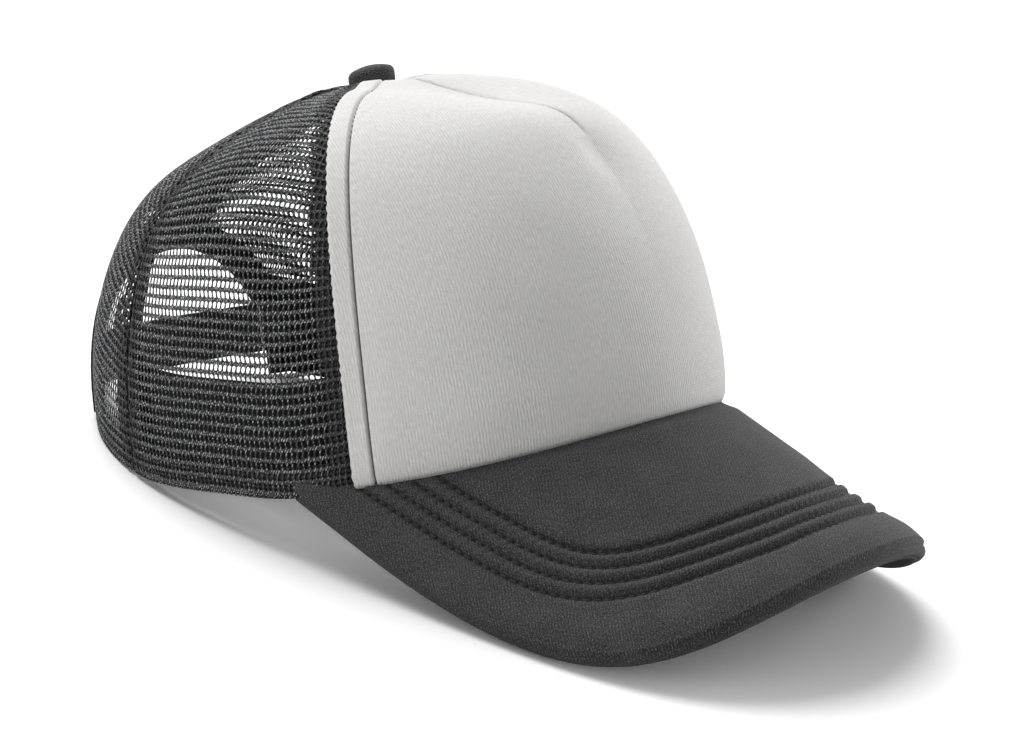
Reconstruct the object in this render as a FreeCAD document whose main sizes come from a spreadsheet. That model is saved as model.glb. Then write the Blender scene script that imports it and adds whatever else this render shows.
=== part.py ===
import FreeCAD, Part
import math
import os
import re
import Sketcher
from FreeCAD import Placement, Rotation, Vector

# A five-panel trucker mesh cap. Everything is drawn in the head frame: the axis of the crown
# is Z, the forehead looks along -Y, the wearer's right ear is on -X, and Z = 0 is the rim at
# the forehead. Each part is then placed nose up, as the cap rests on a table.

doc = FreeCAD.newDocument("TruckerCap")
dims = doc.addObject("Spreadsheet::Sheet", "Dims")

# name, value or formula, meaning (lengths in mm, angles in degrees, fullness without unit)
DRIVING = (
    ("rim_front", 99.5, "crown axis to the outside of the rim at the forehead"),
    ("rim_back", 103.4, "crown axis to the outside of the rim at the nape"),
    ("rim_side", 80.0, "crown axis to the outside of the rim over the ear"),
    ("back_square", 2.2, "exponent of the rim oval behind the ears, 2 is an ellipse"),
    ("crown_height", 102.9, "rim at the forehead to the top of the crown"),
    ("rim_dip", 6.5, "how far the rim dips over the ears"),
    ("rim_rise", 21.5, "how far the rim rises at the nape"),
    ("eyelet", 5.0, "radius of the hole that the panels leave under the button"),
    ("seam_front", 67.4, "rim angle of the seam between front and side panel"),
    ("seam_side", 115.7, "rim angle of the seam between side and back panel"),
    ("full_front", 0.725, "fullness of the crown's arc at the forehead"),
    ("full_seam", 0.84, "fullness along the front seam"),
    ("full_side", 0.675, "fullness along the side seam"),
    ("full_back", 0.575, "fullness at the nape"),
    ("face_skin", 0.8, "knitted face of the front panel"),
    ("foam_skin", 2.4, "foam behind the knitted face"),
    ("mesh_skin", 0.9, "thickness of the net"),
    ("tape_skin", 0.7, "thickness of the seam tapes"),
    ("tape_wide", 12.0, "width of the seam tapes"),
    ("back_tape_wide", 18.0, "width of the tape down the middle of the back"),
    ("seat", 0.35, "play left between sewn layers"),
    ("tape_end", 15.0, "where the tapes stop under the button"),
    ("tape_short", 1.5, "how far above the rim the tapes start"),
    ("arch_radius", 40.0, "radius of the opening at the back"),
    ("arch_centre", 21.2, "height of the centre of that opening"),
    ("binding_wide", 7.0, "width of the binding round the opening"),
    ("binding_skin", 0.6, "thickness of the binding"),
    ("band_tall", 31.0, "height of the sweatband"),
    ("band_skin", 1.0, "thickness of the sweatband's cover"),
    ("core_skin", 0.5, "thickness of the sweatband's stiffener"),
    ("band_lean", 0.09, "how far the sweatband leans in, per unit of radius and missing fullness"),
    ("peak_tuck", 1.5, "how much less the peak's half width is than the rim's"),
    ("peak_half", "=rim_side - peak_tuck", "half the width of the peak"),
    ("peak_reach", 158.5, "crown axis to the front edge of the peak"),
    ("peak_square", 53.0, "half width that the front edge runs toward before it turns"),
    ("peak_corner", 150.0, "distance along the peak that the corner is drawn out to"),
    ("peak_cheek", 95.0, "distance along the peak at which its sides run straight"),
    ("peak_taper", 4.0, "how much the straight sides run in"),
    ("peak_start", 10.0, "crown axis to the place that distances along the peak count from"),
    ("peak_flat", 8.0, "how much larger the peak's bend is than the rim's half width"),
    ("peak_bend", "=rim_side + peak_flat", "radius that the peak is bent to"),
    ("peak_pitch", 34.5, "angle of the peak below the rim"),
    ("peak_root", 70.0, "rim angle at which the peak ends"),
    ("root_deep", 1.6, "how far the sewn edge of the peak reaches in under the crown"),
    ("ply_gap", 0.08, "air between laminated layers"),
    ("cover_skin", 0.7, "twill on the peak"),
    ("pad_skin", 1.5, "padding under the top twill"),
    ("board_skin", 1.5, "stiff board in the peak"),
    ("peak_inset", 2.5, "how far board and padding stay inside the edge"),
    ("button_radius", 7.1, "outside of the covered button"),
    ("button_tall", 5.6, "height of the covered button"),
    ("button_wall", 3.1, "height of its upright side"),
    ("button_edge", 1.8, "rounding of its shoulder"),
    ("shell_skin", 0.5, "sheet metal of the button"),
    ("shank_radius", 1.8, "tube of the button's back"),
    ("washer_skin", 0.8, "thickness of the washer"),
    ("washer_radius", 6.5, "washer inside the crown"),
    ("strap_anchor", 139.7, "rim angle above which the sewn part of a strap ends"),
    ("strap_inset", 3.3, "how far the straps stay in front of the rim's outside"),
    ("anchor_x", "=rim_side * sin(strap_anchor) ^ (2 / back_square)", "that end, from the middle"),
    ("anchor_y", "=rim_back * (1 - (-cos(strap_anchor)) ^ (2 / back_square))", "and from the nape"),
    ("strap_radius", "=(anchor_x ^ 2 + anchor_y ^ 2) / (2 * anchor_y)", "outside of the strap with holes"),
    ("strap_centre", "=rim_back - strap_inset - strap_radius", "crown axis to the axis of the straps"),
    ("strap_tall", 16.0, "height of the straps"),
    ("strap_skin", 1.2, "thickness of the straps"),
    ("strap_play", 0.3, "gap between the two straps and at their roots"),
    ("strap_lift", 0.5, "height of the straps above the rim at the nape"),
    ("strap_rise", "=(strap_tall + strap_lift) / (3 * full_back * (crown_height - rim_rise))",
     "how far up the arc of the crown a strap reaches"),
    ("strap_lean", "=3 * strap_rise ^ 2 * (1 - full_back) * (rim_back - eyelet)",
     "how far the top of a strap leans in, as the crown does there"),
    ("strap_clear", 5.8, "how far inside the edge of the opening a strap starts to swing"),
    ("strap_hinge", "=asin((arch_radius - strap_clear) / strap_radius) / 1deg", "angle of that place"),
    ("strap_tab", "=asin(anchor_x / strap_radius) / 1deg", "angle at which the sewn part of a strap ends"),
    ("strap_end", 12.6, "angle of a strap's free end past the middle"),
    ("strap_round", 5.6, "rounding of the corners of that end"),
    ("snap_pitch", 6.0, "angle from one snap to the next"),
    ("hole_radius", 2.5, "holes in the strap"),
    ("collar_wide", 1.1, "width of the raised collar round a hole"),
    ("collar_tall", 0.4, "how far that collar stands out"),
    ("stud_radius", 2.0, "foot of a stud"),
    ("stud_taper", 14.0, "taper of a stud"),
    ("stud_tall", 1.5, "height of a stud"),
    ("nose_up", 21.0, "how far the cap leans back as it rests"),
    ("lift", 60.0, "height of the crown axis' foot as it rests"),
    ("slide", 0.0, "distance of that foot behind the middle of the cap"),
)

next_row = 0
NAMES = set()


def add_cell(name, content, note=""):
    """Writes one named value or formula into the sheet."""
    global next_row
    next_row += 1
    text = content if isinstance(content, str) else repr(content)
    dims.set(f"A{next_row}", name)
    dims.set(f"B{next_row}", text)
    dims.set(f"C{next_row}", note)
    dims.setAlias(f"B{next_row}", name)
    NAMES.add(name)


def value(name):
    """The number that a named cell holds."""
    found = dims.get(name)
    return float(getattr(found, "Value", found))


for row in DRIVING:
    add_cell(*row)
doc.recompute()

# Meridian stations round the rim, as rim angles from the forehead to the nape. The seams are
# stations, so neighbouring panels share the curve they are sewn along.
SEAM_FRONT = value("seam_front")
SEAM_SIDE = value("seam_side")
FRONT_STATIONS = tuple(SEAM_FRONT * k / 3 for k in range(4))
SIDE_STATIONS = tuple(SEAM_FRONT + (SEAM_SIDE - SEAM_FRONT) * k / 3 for k in range(4))
BACK_STATIONS = tuple(SEAM_SIDE + (180 - SEAM_SIDE) * k / 3 for k in range(4))
STATIONS = FRONT_STATIONS + SIDE_STATIONS[1:] + BACK_STATIONS[1:]
# How deep the sweatband lies below the crown's outside at each station: behind the foam, over
# the seam tapes, and inside the sewn ends of the straps.
BAND_DEEP = (3.6, 3.6, 4.1, 5.3, 4.2, 3.0, 2.9, 6.2, 6.6, 6.6)


def plan_angle(angle):
    """Direction in plan of a station, from +X, with the wearer's right at positive angles."""
    name = station_name(angle)
    turn = math.degrees(math.atan2(value(f"x_{name}"), value(f"y_{name}")))
    return -90 - math.copysign(turn, angle)


def station_name(angle):
    """Name of the sheet's cells for the station nearest to a rim angle."""
    nearest = min(STATIONS, key=lambda one: abs(one - abs(angle)))
    return "s" + str(STATIONS.index(nearest))


def rim_point(angle):
    """Plan position of the rim's outside, right and forward of the axis, as two expressions."""
    if angle <= 90:
        return f"rim_side * sin({angle})", f"rim_front * cos({angle})"
    square = "^ (2 / back_square)"
    return f"rim_side * sin({angle}) {square}", f"-rim_back * (-cos({angle})) {square}"


def add_station(index, angle):
    """Rim radius, plan angle, rim height and fullness at one station."""
    name = f"s{index}"
    for axis_name, text in zip("xy", rim_point(angle)):
        add_cell(f"{axis_name}_{name}", f"={text}")
    add_cell(f"rad_{name}", f"=sqrt(x_{name} ^ 2 + y_{name} ^ 2)")
    rake = "0"
    if angle < value("peak_root"):
        bow = f"sqrt(peak_bend ^ 2 - x_{name} ^ 2)"
        fall = f"(rim_front - y_{name}) * tan(peak_pitch)"
        add_cell(f"low_{name}", f"={fall} - (peak_bend - {bow}) / cos(peak_pitch) + seat")
        rake = f"=(y_{name} * tan(peak_pitch) + x_{name} ^ 2 / {bow} / cos(peak_pitch)) / rad_{name}"
    elif angle <= 90:
        add_cell(f"low_{name}", "=-rim_dip")
    else:
        add_cell(f"low_{name}", f"=-rim_dip * sin({angle}) ^ 2 + rim_rise * cos({angle}) ^ 2")
    if angle <= SEAM_FRONT:
        share, start, end = angle / SEAM_FRONT, "full_front", "full_seam"
    elif angle <= SEAM_SIDE:
        share, start, end = (angle - SEAM_FRONT) / (SEAM_SIDE - SEAM_FRONT), "full_seam", "full_side"
    else:
        share, start, end = (angle - SEAM_SIDE) / (180 - SEAM_SIDE), "full_side", "full_back"
    add_cell(f"full_{name}", f"={start} + ({end} - {start}) * {share}")
    add_cell(f"rake_{name}", rake)
    add_cell(f"deep_{name}", BAND_DEEP[index])


for number, station in enumerate(STATIONS):
    add_station(number, station)
doc.recompute()


def bind(text):
    """An expression with every named cell written the way the document reads it."""
    return re.sub(r"[a-z]\w*", lambda word: "Dims." + word[0] if word[0] in NAMES else word[0], text)


def evaluate(text):
    """The number that an expression over the sheet gives."""
    found = dims.evalExpression(bind(text))
    return float(getattr(found, "Value", found))


def origin_item(body, role):
    """One of a body's own origin planes or axes."""
    return next(item for item in body.Origin.OriginFeatures if item.Role == role)


def new_body(label):
    """A body that carries one sub-part."""
    body = doc.addObject("PartDesign::Body", label)
    body.Label = label
    return body


def new_sketch(body, role, shift=("0", "0", "0"), axis=Vector(0, 1, 0), turn="0"):
    """A sketch on one of the body's origin planes, turned and shifted by named sizes."""
    sketch = body.newObject("Sketcher::SketchObject", body.Name + "_sketch")
    sketch.AttachmentSupport = [(origin_item(body, role), "")]
    sketch.MapMode = "FlatFace"
    angle = evaluate(turn)
    sketch.AttachmentOffset = Placement(Vector(*[evaluate(one) for one in shift]), Rotation(axis, angle))
    for letter, text in zip("xyz", shift):
        if text != "0":
            sketch.setExpression(f"AttachmentOffset.Base.{letter}", bind(text))
    return sketch


def pin(sketch, geometry, position, point, kinds=("DistanceX", "DistanceY")):
    """Holds a point of a sketch by expressions, in both directions or one."""
    for kind in kinds:
        text = point[0] if kind == "DistanceX" else point[1]
        size = evaluate(text)
        lock = sketch.addConstraint(Sketcher.Constraint(kind, -1, 1, geometry, position, size))
        if size:
            sketch.setExpression(f"Constraints[{lock}]", bind(text))


def draw(sketch, start, pieces):
    """Draws a closed outline from lines, arcs and curves with two handles.

    Each piece is ("line", end), ("arc", end, centre, radius, turn) with turn 1 for counter-clockwise,
    or ("curve", handle, handle, end). Points are pairs of expressions.
    """
    here = Vector(evaluate(start[0]), evaluate(start[1]), 0)
    first = last = None
    for count, piece in enumerate(pieces):
        kind = piece[0]
        end = piece[3] if kind == "curve" else piece[1]
        there = Vector(evaluate(end[0]), evaluate(end[1]), 0)
        begin_at, end_at = 1, 2
        if kind == "line":
            shape = Part.LineSegment(here, there)
        elif kind == "arc":
            centre = Vector(evaluate(piece[2][0]), evaluate(piece[2][1]), 0)
            circle = Part.Circle(centre, Vector(0, 0, 1), evaluate(piece[3]))
            angles = [math.atan2(point.y - centre.y, point.x - centre.x) for point in (here, there)]
            if piece[4] < 0:
                angles.reverse()
                begin_at, end_at = 2, 1
            shape = Part.ArcOfCircle(circle, *angles)
        else:
            handles = [Vector(evaluate(one[0]), evaluate(one[1]), 0) for one in piece[1:3]]
            shape = Part.BSplineCurve([here, *handles, there], None, None, False, 3, None, False)
        made = sketch.addGeometry(shape, False)
        if kind == "curve":
            pole = sketch.GeometryCount
            sketch.exposeInternalGeometry(made)
            pin(sketch, pole + 1, 3, piece[1])
            pin(sketch, pole + 2, 3, piece[2])
        if first is None:
            first = (made, begin_at)
            pin(sketch, made, begin_at, start)
        else:
            sketch.addConstraint(Sketcher.Constraint("Coincident", *last, made, begin_at))
        if kind == "arc":
            pin(sketch, made, 3, piece[2])
        if count == len(pieces) - 1:
            sketch.addConstraint(Sketcher.Constraint("Coincident", made, end_at, *first))
        elif kind == "arc":
            upright = abs(there.y - centre.y) > abs(there.x - centre.x)
            pin(sketch, made, end_at, end, ("DistanceX",) if upright else ("DistanceY",))
        else:
            pin(sketch, made, end_at, end)
        last = (made, end_at)
        here = there


def draw_circle(sketch, centre, radius):
    """Draws a circle held by expressions."""
    middle = Vector(evaluate(centre[0]), evaluate(centre[1]), 0)
    made = sketch.addGeometry(Part.Circle(middle, Vector(0, 0, 1), evaluate(radius)), False)
    pin(sketch, made, 3, centre)
    lock = sketch.addConstraint(Sketcher.Constraint("Radius", made, evaluate(radius)))
    sketch.setExpression(f"Constraints[{lock}]", bind(radius))


def pad(body, sketch, length, symmetric=False, backwards=False, taper="0"):
    """Pads a sketch by a named length."""
    feature = body.newObject("PartDesign::Pad", body.Name + "_pad")
    feature.Profile = sketch
    feature.Length = evaluate(length)
    feature.setExpression("Length", bind(length))
    feature.Midplane = symmetric
    feature.Reversed = backwards
    if taper != "0":
        feature.setExpression("TaperAngle", bind(taper))
    return feature


def pocket(body, sketch, backwards=False):
    """Cuts a sketch all the way through, away from its plane's normal."""
    feature = body.newObject("PartDesign::Pocket", body.Name + "_pocket")
    feature.Profile = sketch
    feature.Type = "ThroughAll"
    feature.Reversed = backwards
    return feature


def revolve(body, sketch, angle="360"):
    """Turns a sketch about the body's own upright axis."""
    feature = body.newObject("PartDesign::Revolution", body.Name + "_revolution")
    feature.Profile = sketch
    feature.ReferenceAxis = (origin_item(body, "Z_Axis"), [""])
    feature.Angle = evaluate(angle)
    feature.setExpression("Angle", bind(angle))
    return feature


def polar(body, feature, angle, count):
    """Repeats a feature about the body's upright axis."""
    pattern = body.newObject("PartDesign::PolarPattern", body.Name + "_pattern")
    pattern.Originals = [feature]
    pattern.Axis = (origin_item(body, "Z_Axis"), [""])
    pattern.Angle = evaluate(angle)
    pattern.setExpression("Angle", bind(angle))
    pattern.Occurrences = count
    body.Tip = pattern
    return pattern


def loft(body, sketches):
    """Lofts a row of sketches."""
    feature = body.newObject("PartDesign::AdditiveLoft", body.Name + "_loft")
    feature.Profile = sketches[0]
    feature.Sections = sketches[1:]
    return feature


# ---- the crown: panels, tapes, binding and sweatband --------------------------------------


def meridian_poles(name, depth, over, short):
    """Four poles of the crown's arc at a station, at a depth below the crown's outside.

    The foot clears the peak's rising back edge as far in as the depth named by over, and stops
    short of the rim by a named height.
    """
    across = f"rad_{name} - ({depth})"
    top = f"crown_height - ({depth})"
    return (
        (across, f"low_{name} + rake_{name} * ({over}) + {short}"),
        (across, f"low_{name} + full_{name} * ({top} - low_{name})"),
        (f"eyelet + full_{name} * ({across} - eyelet)", top),
        ("eyelet", top),
    )


def meridian_sketch(body, angle, outer, inner, over=("0", "0"), short="0"):
    """One upright slice through a layer of the crown, between two depths."""
    name = station_name(angle)
    sketch = new_sketch(body, "XZ_Plane", turn=repr(plan_angle(angle)))
    foot, wall, shoulder, tip = meridian_poles(name, outer, over[0], short)
    inner_foot, inner_wall, inner_shoulder, inner_tip = meridian_poles(name, inner, over[1], short)
    draw(sketch, foot, (
        ("curve", wall, shoulder, tip),
        ("line", inner_tip),
        ("curve", inner_shoulder, inner_wall, inner_foot),
        ("line", foot),
    ))
    return sketch


def crown_layer(label, runs, outer, inner, over=("0", "0")):
    """A layer of the crown: one loft between two seams for each run of stations."""
    body = new_body(label)
    for run in runs:
        loft(body, [meridian_sketch(body, angle, outer, inner, over) for angle in run])
    return body


def arch_outline(radius):
    """Opening at the back: a half circle on straight legs, as a start point and pieces."""
    leg = "-rim_rise"
    return (f"-({radius})", leg), (
        ("line", (radius, leg)),
        ("line", (radius, "arch_centre")),
        ("arc", (f"-({radius})", "arch_centre"), ("0", "arch_centre"), radius, 1),
        ("line", (f"-({radius})", leg)),
    )


def cut_arch(body, radius):
    """Cuts the opening at the back through a layer."""
    sketch = new_sketch(body, "XZ_Plane")
    draw(sketch, *arch_outline(radius))
    pocket(body, sketch)


def mirrored(angles, side):
    """Rim angles on the wearer's right (side 1) or left (side -1)."""
    return [angle * side for angle in angles]


def rim_tangent(angle):
    """Level direction along the rim at a rim angle."""
    step = min(1.0, (180 - abs(angle)) / 2 + 1e-3)
    before, after = (
        [evaluate(text) for text in rim_point(abs(angle) + move)] for move in (-step, step)
    )
    side = math.copysign(1, -angle)
    return Vector(side * (after[0] - before[0]), before[1] - after[1], 0).normalize()


def seam_tape(label, angle, depth, width):
    """A flat tape sewn along a seam, stopped short of the button."""
    body = new_body(label)
    slice_sketch = meridian_sketch(body, angle, depth, f"{depth} + tape_skin", short="tape_short")
    tape = pad(body, slice_sketch, width, symmetric=True)
    if angle != 180:
        tape.UseCustomVector = True
        tape.Direction = rim_tangent(angle)
    sketch = new_sketch(body, "XY_Plane")
    draw_circle(sketch, ("0", "0"), "tape_end")
    pocket(body, sketch, backwards=True)
    return body


def band_sketch(body, index, side, outer, inner, tall):
    """One upright slice through a layer of the sweatband."""
    name = f"s{index}"
    sketch = new_sketch(body, "XZ_Plane", turn=repr(plan_angle(STATIONS[index] * side)))
    lean = f"band_lean * (1 - full_{name}) * rad_{name} * ({tall}) / band_tall"
    foot = f"low_{name} + seat"
    outside, inside = (f"rad_{name} - deep_{name} - ({layer})" for layer in (outer, inner))
    draw(sketch, (outside, foot), (
        ("line", (f"{outside} - {lean}", f"{foot} + {tall}")),
        ("line", (f"{inside} - {lean}", f"{foot} + {tall}")),
        ("line", (inside, foot)),
        ("line", (outside, foot)),
    ))
    return sketch


def band_layer(label, outer, inner, tall):
    """A layer of the sweatband, open at the back."""
    body = new_body(label)
    ear, last = len(FRONT_STATIONS) + 1, len(STATIONS) - 2
    round_front = [(index, 1) for index in range(ear, 0, -1)] + [(index, -1) for index in range(ear + 1)]
    runs = [round_front] + [[(index, side) for index in range(ear, last + 1)] for side in (1, -1)]
    for run in runs:
        loft(body, [band_sketch(body, index, side, outer, inner, tall) for index, side in run])
    cut_arch(body, "arch_radius + band_skin")
    return body


FOAM_BACK = "(face_skin + ply_gap + foam_skin)"
FOREHEAD = [mirrored(FRONT_STATIONS[:0:-1], 1) + mirrored(FRONT_STATIONS, -1)]
crown = [
    crown_layer("front_panel_face", FOREHEAD, "0", "face_skin", ("0", "root_deep + seat")),
    crown_layer("front_panel_foam", FOREHEAD, "face_skin + ply_gap", FOAM_BACK,
                ("root_deep + seat", "root_deep + seat")),
]
for side_name, side in (("right", 1), ("left", -1)):
    crown.append(crown_layer(f"side_panel_{side_name}", [mirrored(SIDE_STATIONS, side)], "0", "mesh_skin",
                             ("0", "mesh_skin")))
    back_panel = crown_layer(f"back_panel_{side_name}", [mirrored(BACK_STATIONS, side)], "0", "mesh_skin")
    cut_arch(back_panel, "arch_radius")
    crown.append(back_panel)
    crown.append(seam_tape(f"front_seam_tape_{side_name}", SEAM_FRONT * side, f"{FOAM_BACK} + 3 * seat",
                           "tape_wide"))
    crown.append(seam_tape(f"side_seam_tape_{side_name}", SEAM_SIDE * side, "mesh_skin + 2 * seat",
                           "tape_wide"))
back_tape = seam_tape("back_seam_tape", 180, "mesh_skin + 2 * seat + binding_skin", "back_tape_wide")
cut_arch(back_tape, "arch_radius + seat")
crown.append(back_tape)

# The binding is folded round the cut edge of the opening: a thick layer, less the net's own
# layer, which it leaves open on the side away from the edge.
BEHIND = [mirrored(BACK_STATIONS, side) for side in (1, -1)]
wrap = crown_layer("binding_wrap", BEHIND, "-binding_skin - seat", "mesh_skin + binding_skin + seat")
wrap_sketch = new_sketch(wrap, "XZ_Plane")
WRAP = "(arch_radius + binding_wide)"
draw(wrap_sketch, (f"-{WRAP}", "-rim_rise"), (
    ("line", (f"-{WRAP}", "arch_centre")),
    ("arc", (WRAP, "arch_centre"), ("0", "arch_centre"), WRAP, -1),
    ("line", (WRAP, "-rim_rise")),
    ("line", ("rim_front", "-rim_rise")),
    ("line", ("rim_front", "2 * crown_height")),
    ("line", ("-rim_front", "2 * crown_height")),
    ("line", ("-rim_front", "-rim_rise")),
    ("line", (f"-{WRAP}", "-rim_rise")),
))
pocket(wrap, wrap_sketch)
cut_arch(wrap, "arch_radius - binding_skin - seat")
slot_body = crown_layer("binding_slot", BEHIND, "-seat", "mesh_skin + seat")
cut_arch(slot_body, "arch_radius - seat")
binding = doc.addObject("Part::Cut", "arch_binding")
binding.Base = wrap
binding.Tool = slot_body
binding.Label = "arch_binding"
crown.append(binding)
crown.append(band_layer("sweatband_core", "0", "core_skin", "band_tall - 5 * band_skin"))
crown.append(band_layer("sweatband_cover", "core_skin + seat", "core_skin + seat + band_skin",
                        "band_tall"))

# ---- the peak ------------------------------------------------------------------------------


def bend_tangent(half):
    """Tangent of the angle that the bent peak turns through up to a half width."""
    return f"({half}) / sqrt(peak_bend ^ 2 - ({half}) ^ 2)"


def peak_outline(body, share, inset):
    """The peak's outline on a plane along it, at a share of the bend radius above the bend's axis.

    The walls of the outline run toward the axis of the bend, so the edge of every layer is square
    to the layer: across the peak the outline grows with the plane's height.
    """
    above = f"({share} - 1) * peak_bend"
    sketch = new_sketch(body, "XY_Plane", (
        "0",
        f"-peak_start - {above} * sin(peak_pitch)",
        f"(rim_front - peak_start) * tan(peak_pitch) + {above} * cos(peak_pitch)",
    ), Vector(1, 0, 0), "peak_pitch")
    edge, square, neck = (
        f"{share} * peak_bend * {bend_tangent(half)}"
        for half in (f"peak_half - {inset}", "peak_square", f"peak_half - peak_taper - {inset}")
    )
    front = f"((peak_reach - peak_start) / cos(peak_pitch) - ({inset}))"
    draw(sketch, ("0", f"-{front}"), (
        ("curve", (square, f"-{front}"), (edge, "-peak_corner"), (edge, "-peak_cheek")),
        ("line", (neck, "0")),
        ("line", (f"-{neck}", "0")),
        ("line", (f"-{edge}", "-peak_cheek")),
        ("curve", (f"-{edge}", "-peak_corner"), (f"-{square}", f"-{front}"), ("0", f"-{front}")),
    ))
    return sketch


def peak_layer(label, upper, lower, inset, rooted=True):
    """A layer of the bent and pitched peak between two depths below its top."""
    body = new_body(label)
    wedge = loft(body, [peak_outline(body, share, inset) for share in (BELOW_PEAK, ABOVE_PEAK)])
    wedge.Ruled = True
    bow = new_sketch(body, "XZ_Plane", ("0", "(rim_front - peak_start) * tan(peak_pitch)", "peak_start"),
                     Vector(1, 0, 0), "peak_pitch")
    ends = [f"sqrt((peak_bend - ({depth})) ^ 2 - ({BOW_HALF}) ^ 2) - peak_bend" for depth in (upper, lower)]
    centre = ("0", "-peak_bend")
    draw(bow, (f"-({BOW_HALF})", ends[0]), (
        ("arc", (BOW_HALF, ends[0]), centre, f"peak_bend - ({upper})", -1),
        ("line", (BOW_HALF, ends[1])),
        ("arc", (f"-({BOW_HALF})", ends[1]), centre, f"peak_bend - ({lower})", 1),
        ("line", (f"-({BOW_HALF})", ends[0])),
    ))
    frame = "3 * peak_bend"
    draw(bow, (f"-{frame}", f"-{frame}"), (
        ("line", (f"-{frame}", frame)),
        ("line", (frame, frame)),
        ("line", (frame, f"-{frame}")),
        ("line", (f"-{frame}", f"-{frame}")),
    ))
    pocket(body, bow, backwards=True)
    if rooted:
        cut_root(body)
    return body


def cut_root(body):
    """Cuts away what lies behind the oval that the peak is sewn along."""
    root = new_sketch(body, "XY_Plane", ("0", "0", "crown_height"))
    front, side = "(rim_front - root_deep)", "(rim_side - root_deep)"
    turn = "4 / 3 * tan(peak_root / 4)"
    end = (f"{side} * sin(peak_root)", f"-{front} * cos(peak_root)")
    handle = (f"{side} * (sin(peak_root) - {turn} * cos(peak_root))",
              f"-{front} * (cos(peak_root) + {turn} * sin(peak_root))")
    wide = "2 * rim_side"
    draw(root, end, (
        ("curve", handle, (f"{side} * {turn}", f"-{front}"), ("0", f"-{front}")),
        ("curve", (f"-{side} * {turn}", f"-{front}"), (f"-{handle[0]}", handle[1]), (f"-{end[0]}", end[1])),
        ("line", (f"-{wide}", end[1])),
        ("line", (f"-{wide}", wide)),
        ("line", (wide, wide)),
        ("line", (wide, end[1])),
        ("line", end),
    ))
    pocket(body, root)


BELOW_PEAK, ABOVE_PEAK = "0.25", "1.01"
BOW_HALF = "(peak_half + peak_bend) / 2"
UNDER_COVER = "cover_skin"
PAD_TOP = f"{UNDER_COVER} + ply_gap"
PAD_BACK = f"{PAD_TOP} + pad_skin"
BOARD_TOP = f"{PAD_BACK} + ply_gap"
BOARD_BACK = f"{BOARD_TOP} + board_skin"
HEM = f"{BOARD_BACK} + ply_gap"

# The top twill turns down round the edge to the seam with the twill below.
top_cover = doc.addObject("Part::Cut", "peak_top_cover")
top_cover.Base = peak_layer("peak_top_block", "0", BOARD_BACK, "0")
top_cover.Tool = peak_layer("peak_top_hollow", UNDER_COVER, f"{BOARD_BACK} + cover_skin", "cover_skin", False)
top_cover.Label = "peak_top_cover"
peak = [
    top_cover,
    peak_layer("peak_padding", PAD_TOP, PAD_BACK, "peak_inset"),
    peak_layer("peak_board", BOARD_TOP, BOARD_BACK, "peak_inset"),
    peak_layer("peak_under_cover", HEM, f"{HEM} + cover_skin", "0"),
]

# ---- the button ----------------------------------------------------------------------------


BUTTON_FOOT = "(crown_height + seat)"
BUTTON_WALL = f"({BUTTON_FOOT} + button_wall)"
BUTTON_TOP = f"({BUTTON_FOOT} + button_tall)"
# The button's outside is an upright wall, a round shoulder and a flatter arc that meets it smoothly.
EDGE_AWAY = "(button_radius - button_edge)"
DOME_RISE = "(button_tall - button_wall)"
DOME_RADIUS = f"(({EDGE_AWAY} ^ 2 + {DOME_RISE} ^ 2 - button_edge ^ 2) / (2 * ({DOME_RISE} - button_edge)))"
DOME_CENTRE = f"({BUTTON_TOP} - {DOME_RADIUS})"


def dome(label, outer, inner):
    """A domed cup, open below, between two depths inside the button's outside."""
    body = new_body(label)
    sketch = new_sketch(body, "XZ_Plane")
    edge_centre, dome_centre = (EDGE_AWAY, BUTTON_WALL), ("0", DOME_CENTRE)
    joins = []
    for depth in (outer, inner):
        reach = f"({DOME_RADIUS} - ({depth})) / ({DOME_RADIUS} - button_edge)"
        joins.append((f"{EDGE_AWAY} * {reach}", f"{DOME_CENTRE} + ({BUTTON_WALL} - {DOME_CENTRE}) * {reach}"))
    wide, narrow = (f"button_radius - ({depth})" for depth in (outer, inner))
    draw(sketch, (wide, BUTTON_FOOT), (
        ("line", (wide, BUTTON_WALL)),
        ("arc", joins[0], edge_centre, f"button_edge - ({outer})", 1),
        ("arc", ("0", f"{BUTTON_TOP} - ({outer})"), dome_centre, f"{DOME_RADIUS} - ({outer})", 1),
        ("line", ("0", f"{BUTTON_TOP} - ({inner})")),
        ("arc", joins[1], dome_centre, f"{DOME_RADIUS} - ({inner})", -1),
        ("arc", (narrow, BUTTON_WALL), edge_centre, f"button_edge - ({inner})", -1),
        ("line", (narrow, BUTTON_FOOT)),
        ("line", (wide, BUTTON_FOOT)),
    ))
    revolve(body, sketch)
    return body


SHELL_OUTSIDE = "cover_skin + ply_gap"
button = [
    dome("button_cover", "0", "cover_skin"),
    dome("button_shell", SHELL_OUTSIDE, f"{SHELL_OUTSIDE} + shell_skin"),
]
rivet = new_body("button_rivet")
rivet_sketch = new_sketch(rivet, "XZ_Plane")
disc = "(button_radius - cover_skin - shell_skin - seat)"
RIVET_END = f"(crown_height - {FOAM_BACK} - 2 * seat - shell_skin - washer_skin)"
draw(rivet_sketch, ("0", f"{BUTTON_FOOT} + shell_skin"), (
    ("line", (disc, f"{BUTTON_FOOT} + shell_skin")),
    ("line", (disc, BUTTON_FOOT)),
    ("line", ("shank_radius", BUTTON_FOOT)),
    ("line", ("shank_radius", f"{RIVET_END} + shell_skin")),
    ("line", ("2 * shank_radius", f"{RIVET_END} + shell_skin")),
    ("line", ("2 * shank_radius", RIVET_END)),
    ("line", ("0", RIVET_END)),
    ("line", ("0", f"{BUTTON_FOOT} + shell_skin")),
))
revolve(rivet, rivet_sketch)
washer = new_body("button_washer")
washer_sketch = new_sketch(washer, "XZ_Plane")
WASHER_LOW = f"({RIVET_END} + shell_skin + seat / 2)"
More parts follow.
